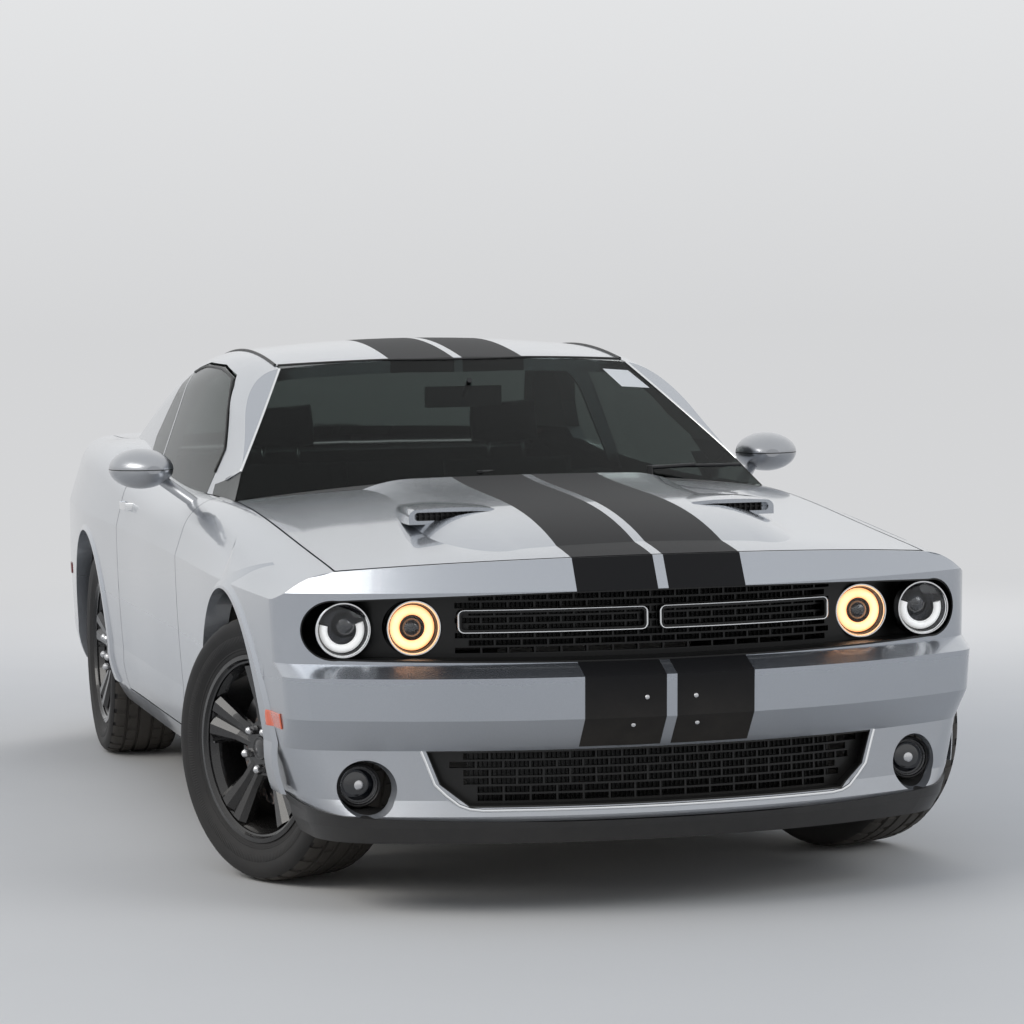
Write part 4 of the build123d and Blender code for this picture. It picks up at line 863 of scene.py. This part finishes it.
def handleCover(sign):
    # a thin bright cover over the pull strap
    route = handle["route"]
    bpy.ops.mesh.primitive_plane_add(size=0.01, location=(0, 0, 0))
    obj = named("handleCover")
    edit(obj)
    bpy.ops.mesh.merge(type="CENTER")
    bpy.ops.transform.translate(value=(*route[0], handle["bottom"]))
    for (x0, y0), (x1, y1) in zip(route, route[1:]):
        bpy.ops.mesh.extrude_vertices_move(TRANSFORM_OT_translate={"value": (x1 - x0, y1 - y0, 0)})
    bpy.ops.mesh.select_all(action="SELECT")
    bpy.ops.mesh.extrude_region_move(TRANSFORM_OT_translate={"value": (0, 0, handle["height"])})
    done(obj, outward=False)
    if sum(p.normal.y for p in obj.data.polygons) < 0:
        obj.data.flip_normals()
    modify(obj, "SOLIDIFY", thickness=handle["wall"], offset=1.0)
    eased(obj, handle["round"])
    if sign < 0:
        obj.data.transform(Matrix.Diagonal((1, -1, 1, 1)))
        obj.data.flip_normals()
    return smooth(obj)


def mirrorPlate(sign):
    bpy.ops.mesh.primitive_circle_add(vertices=48, radius=1.0, fill_type="NGON", location=(0, 0, 0))
    obj = named("mirrorPlate")
    edit(obj)
    bpy.ops.mesh.inset(thickness=0.06, depth=0.0)
    done(obj)
    (centreY, centreZ), (wide, high) = mirror["centre"], mirror["radii"]
    for v in obj.data.vertices:   # an oval that faces back and bulges a little at its middle
        rise = mirror["bulge"] * (1 - min(1.0, v.co.xy.length) ** 2)
        v.co = Vector((mirror["face"] - mirror["gap"] - rise, sign * centreY + v.co.x * wide,
                       centreZ + v.co.y * high))
    obj.data.update()
    if obj.data.polygons[0].normal.x > 0:
        obj.data.flip_normals()
    modify(obj, "SOLIDIFY", thickness=mirror["thickness"], offset=1.0)
    eased(obj, 0.0005)
    return smooth(obj)


for side, sign in sides.items():
    obj = handleCover(sign)
    obj.name = obj.data.name = "handleCover_" + side
    dress(obj, chrome, "door_" + side)
    obj = mirrorPlate(sign)
    obj.name = obj.data.name = "mirrorPlate_" + side
    dress(obj, mirrorGlass, "door_" + side)

# Side markers, plate screws and the blank sticker on the windshield
markers = {"front": (2.005, 2.125, 0.472, 0.512), "rear": (-2.255, -2.135, 0.590, 0.630)}
for where, (x0, x1, z0, z1) in markers.items():
    for side, sign in sides.items():
        y = sign * 1.2
        corners = [(x0, y, z0), (x1, y, z0), (x1, y, z1), (x0, y, z1)]
        skins = ["front_fascia", "rear_fascia", "fender_" + side, "side_" + side]
        piece = patch(f"sideMarker_{where}_{side}", skins, corners, (0, -sign, 0), 10, 5, 0.0002, 0.0035)
        dress(piece, amberLens if where == "front" else tailLens, "chassis")

screwShape = spun("screwSource", [(0.0, 0.0035), (0.0030, 0.0033), (0.0055, 0.0020), (0.0066, 0.0),
                                  (0.0066, -0.004), (0.0, -0.004)], 20)
screws = []
for y, z in ((-0.064, 0.556), (0.063, 0.555), (-0.095, 0.486), (0.071, 0.485)):
    screws.append(twin(screwShape, "screw", Matrix.Translation(onNose(y, z)) @ forward))
drop(screwShape)
trimPiece("plateScrews", screws, nutSteel, angle=40)

corners = [(1.6, y, z) for y, z in ((0.495, 1.290), (0.590, 1.283), (0.548, 1.338), (0.462, 1.345))]
sticker = patch("windshieldSticker", ["fixed_glass"], corners, (-1, 0, 0), 8, 8, 0.0003, 0.0004)
dress(sticker, paper, "chassis")
print("trims done")

# Seats: padded pieces on a plastic shell, with bolsters and sewn channels

seat = {
    "middle": 0.39, "voxel": 0.010, "pressure": 4.0, "frames": 14, "cap": 0.009, "seamDepth": 0.0055,
    "seamWidth": 0.0050, "fill": 0.75, "benchFill": 0.8,
    "benchSeams": [("y", 0.0), ("y", 0.27), ("-y", 0.27)],
    "cushion": [(-0.030, 0.350), (-0.550, 0.350), (-0.550, 0.470), (-0.030, 0.480)],
    "back": [(-0.445, 0.492), (-0.560, 0.492), (-0.715, 1.030), (-0.652, 1.045)],
    "head": [(-0.664, 1.100), (-0.738, 1.092), (-0.755, 1.220), (-0.706, 1.232)],
    "benchCushion": [(-0.862, 0.500), (-1.218, 0.500), (-1.218, 0.545), (-0.862, 0.558)],
    "benchBack": [(-1.180, 0.572), (-1.300, 0.572), (-1.300, 1.018), (-1.277, 1.018)],
}


def puff(obj):
    # the cover is blown up a little, then held to a few millimetres of its cut shape
    obj.data.remesh_voxel_size = seat["voxel"]
    only(obj)
    bpy.ops.object.voxel_remesh()
    before = [v.co.copy() for v in obj.data.vertices]
    cloth = obj.modifiers.new("cover", "CLOTH")
    cloth.settings.use_pressure = True
    cloth.settings.uniform_pressure_force = seat["pressure"]
    cloth.settings.effector_weights.gravity = 0.0
    for number in range(1, seat["frames"] + 1):
        bpy.context.scene.frame_set(number)
    only(obj)
    bpy.ops.object.modifier_apply(modifier=cloth.name)
    for v, start in zip(obj.data.vertices, before):
        move = v.co - start
        if move.length > seat["cap"]:
            v.co = start + move.normalized() * seat["cap"]
    bpy.context.scene.frame_set(1)
    return smooth(obj, 60)


def cushion(name, section, half, bolster, channels, across):
    # section is four points in side view; bolster is how far the middle lies below the sides
    bpy.ops.mesh.primitive_cube_add(size=2, location=(0, 0, 0))
    obj = named(name)
    edit(obj)
    bpy.ops.mesh.subdivide(number_cuts=11)
    done(obj)
    modify(obj, "CAST", factor=0.16, cast_type="SPHERE", radius=1.15)
    a, b, c, d = (Vector((x, 0, z)) for x, z in section)
    for v in obj.data.vertices:
        s, t, w = (1 - v.co.x) / 2, (v.co.z + 1) / 2, v.co.y
        place = a.lerp(b, s).lerp(d.lerp(c, s), t)
        soft = max(0.0, 1 - (abs(w) / 0.72) ** 4)
        if across == "top":   # the middle of the seat lies lower than its sides
            place.z -= bolster * soft * max(0.0, t - 0.3)
        elif across == "front":
            place.x -= bolster * soft * max(0.0, 0.75 - s)
        v.co = Vector((place.x, w * half * (1 - 0.03 * (2 * s - 1) ** 2), place.z))
    obj.data.update()
    puff(obj)
    for v in obj.data.vertices:
        for kind, at in channels:
            value = {"y": v.co.y, "-y": -v.co.y, "x": v.co.x, "z": v.co.z}[kind]
            depth = seat["seamDepth"] * math.exp(-((value - at) / seat["seamWidth"]) ** 2)
            inside = kind in ("y", "-y") or abs(v.co.y) < half * 0.66
            if inside and depth > 0.0002:
                v.co -= v.normal * depth
    obj.data.update()
    return obj


def plasticBox(name, low, high, bevel):
    bpy.ops.mesh.primitive_cube_add(size=1, location=[(a + b) / 2 for a, b in zip(low, high)],
                                    scale=[b - a for a, b in zip(low, high)])
    bpy.ops.object.transform_apply(location=True, rotation=False, scale=True)
    obj = named(name)
    edit(obj)
    bpy.ops.mesh.bevel(offset=bevel, segments=3, affect="EDGES")
    return smooth(done(obj))


def makeSeats():
    shifts = {side: Matrix.Translation((0, sign * seat["middle"], 0)) for side, sign in sides.items()}
    seatSeams = [("y", 0.150), ("-y", 0.150), ("x", -0.20), ("x", -0.33)]
    backSeams = [("y", 0.145), ("-y", 0.145), ("z", 0.66), ("z", 0.80)]
    forms = {
        "seatCushion": cushion("cushionForm", seat["cushion"], 0.238, 0.030, seatSeams, "top"),
        "seatBack": cushion("backForm", seat["back"], 0.228, 0.030, backSeams, "front"),
        "seatHead": cushion("headForm", seat["head"], 0.113, 0.004, [("z", 1.165)], "front"),
    }
    shell = plasticBox("shellForm", (-0.49, -0.185, 0.2455), (-0.07, 0.185, 0.345), 0.012)
    post = [rail("post", [(-0.682, y, 1.030), (-0.703, y, 1.115)], 0.007, 16) for y in (-0.06, 0.06)]
    posts = joined("postForm", post)
    shells = joined("seatShells", [twin(shell, "shell", shift) for shift in shifts.values()])
    dress(shells, trimPlastic, "chassis", ["front_seats"])
    allPosts = joined("seatPosts", [twin(posts, "post", shift) for shift in shifts.values()])
    dress(allPosts, nutSteel, "chassis")
    for name, form in forms.items():
        for side, shift in shifts.items():
            piece = smooth(twin(form, f"{name}_{side}", shift), 60)
            dress(piece, seatCloth, "chassis")
    drop(*forms.values(), shell, posts)
    bench = cushion("rearCushion", seat["benchCushion"], 0.525, 0.012, seat["benchSeams"], "top")
    rest = cushion("rearBackrest", seat["benchBack"], 0.525, 0.014, seat["benchSeams"], "front")
    dress(bench, seatCloth, "chassis", ["rear_seat"])
    dress(rest, seatCloth, "chassis")
    foot = plasticBox("rearSeatFoot", (-0.995, -0.53, 0.246), (-0.855, 0.53, 0.492), 0.010)
    dress(foot, trimPlastic, "chassis")


makeSeats()
print("seats done")

# What shows behind the grilles: two finned coolers
coolers = {"upper": ((2.190, -0.48, 0.662), (2.196, 0.48, 0.800)),
           "lower": ((2.300, -0.48, 0.278), (2.306, 0.48, 0.436))}
fins = {"count": 80, "pitch": 0.012, "margin": 0.004, "wall": 0.002, "depth": 0.010}
for key, (low, high) in coolers.items():
    plate = plasticBox("plate", low, high, 0.001)
    start = (high[0], low[1] + fins["margin"], low[2] + fins["margin"])
    end = (high[0] + fins["depth"], start[1] + fins["wall"], high[2] - fins["margin"])
    fin = plasticBox("fin", start, end, 0.0004)
    modify(fin, "ARRAY", count=fins["count"], use_relative_offset=False, use_constant_offset=True,
           constant_offset_displace=(0, fins["pitch"], 0))
    dress(joined(key + "Cooler", [plate, fin]), rubberTrim, "chassis")
print("coolers done")

# Studio: pale floor, soft lamps and the photograph's viewing angle
studio = {"camera": (10.588, -2.452, 1.480), "yaw": 165.769, "pitch": -3.109, "roll": -1.020, "lens": 119.55,
          "floor": (0.70, 0.685, 0.66, 1), "world": 0.62, "fade": (3.0, 10.0),
          "wall": (0.66, 0.665, 0.675, 1), "wallTop": (0.88, 0.89, 0.90, 1), "wallRise": 0.2}


def seenRays(tree):
    # rays that show the background: straight, mirrored or through glass
    path = add(tree, "LightPath").outputs
    straight = plus(tree, path["Is Camera Ray"], path["Is Glossy Ray"])
    return plus(tree, straight, path["Is Transmission Ray"], clamp=True)


def placeCamera():
    yaw, pitch, roll = (math.radians(studio[key]) for key in ("yaw", "pitch", "roll"))
    ahead = Vector((math.cos(pitch) * math.cos(yaw), math.cos(pitch) * math.sin(yaw), math.sin(pitch)))
    right = ahead.cross(Vector((0, 0, 1))).normalized()
    up = right.cross(ahead)
    right, up = (math.cos(roll) * right + math.sin(roll) * up,
                 math.cos(roll) * up - math.sin(roll) * right)
    turn = Matrix((right, up, -ahead)).transposed().to_4x4()
    bpy.ops.object.camera_add()
    camera = bpy.context.object
    camera.matrix_world = Matrix.Translation(studio["camera"]) @ turn
    camera.data.lens = studio["lens"]
    camera.data.sensor_width = 36.0
    camera.data.clip_end = 200.0
    bpy.context.scene.camera = camera


def softLamp(place, target, size, power, color=(1, 1, 1), mirrored=True):
    bpy.ops.object.light_add(type="AREA", location=place)
    lamp = bpy.context.object
    lamp.data.shape = "RECTANGLE"
    lamp.data.size, lamp.data.size_y = size
    lamp.data.energy = power
    lamp.data.color = color
    lamp.rotation_euler = (Vector(target) - Vector(place)).to_track_quat("-Z", "Y").to_euler()
    lamp.visible_glossy = mirrored


def makeFloor():
    bpy.ops.mesh.primitive_plane_add(size=80, location=(0, 0, 0))
    floor = named("floor")
    material, tree, gloss, place = newMaterial("floorFinish", Roughness=0.8, Specular_IOR_Level=0.2)
    noise = noiseOf(tree, place, 3.0, 8.0)
    fine = noiseOf(tree, place, 180.0, 3.0)
    color = effect(tree, tone, Color=studio["floor"], Scale=1.2, Spread=0.05)["Color"]
    rise = add(tree, "Bump", {"Strength": 0.15, "Distance": 0.002, "Height": fine}).outputs[0]
    rough = blendValue(tree, noise, 0.7, 0.9)
    fill(tree, gloss, {"Base Color": color, "Roughness": rough, "Normal": rise})
    # far from the car the floor takes the wall's color
    away = add(tree, "VectorMath", {0: place}, operation="LENGTH").outputs["Value"]
    near, far = studio["fade"]
    away = add(tree, "MapRange", {0: away, 1: near, 2: far}, interpolation_type="SMOOTHSTEP").outputs[0]
    away = times(tree, away, seenRays(tree))
    wall = add(tree, "Emission", {0: studio["wall"], 1: 1.0})
    mix = add(tree, "MixShader", {0: away, 1: gloss.outputs[0], 2: wall.outputs[0]})
    tree.links.new(mix.outputs[0], tree.nodes["Material Output"].inputs["Surface"])
    floor.data.materials.append(material)


def makeWorld():
    # one sky lights the car, and a pale wall is what camera, glass and metal see
    world = bpy.data.worlds.new("studioWorld")
    bpy.context.scene.world = world
    world.use_nodes = True
    tree = world.node_tree
    tree.nodes.clear()
    height = partsOf(tree, tree.nodes.new("ShaderNodeTexCoord").outputs["Generated"])[2]
    fade = add(tree, "ValToRGB", {0: height})
    low, high = fade.color_ramp.elements
    low.position, low.color = 0.0, (0.92, 0.91, 0.89, 1)
    high.position, high.color = 0.55, (0.62, 0.70, 0.84, 1)
    lit = add(tree, "Background", {"Color": fade.outputs[0], "Strength": studio["world"]})
    wall = add(tree, "ValToRGB", {0: height})
    bottom, top = wall.color_ramp.elements
    bottom.position, bottom.color = 0.0, studio["wall"]
    top.position, top.color = studio["wallRise"], studio["wallTop"]
    seen = add(tree, "Background", {"Color": wall.outputs[0], "Strength": 1.0})
    mix = add(tree, "MixShader", {0: seenRays(tree), 1: lit.outputs[0], 2: seen.outputs[0]})
    out = tree.nodes.new("ShaderNodeOutputWorld")
    tree.links.new(mix.outputs[0], out.inputs["Surface"])


placeCamera()
softLamp((3.0, -7.0, 6.0), (0.5, 0, 0.6), (7, 4), 300, (1.0, 0.98, 0.94))
softLamp((7.5, 5.0, 5.0), (1.0, 0, 0.6), (5, 4), 150, (0.95, 0.98, 1.0), mirrored=False)
softLamp((-8.0, 3.5, 4.2), (-1, 0, 0.8), (5, 2.5), 260, mirrored=False)
makeFloor()
makeWorld()
bpy.context.scene.view_settings.view_transform = "Standard"
print("studio done")
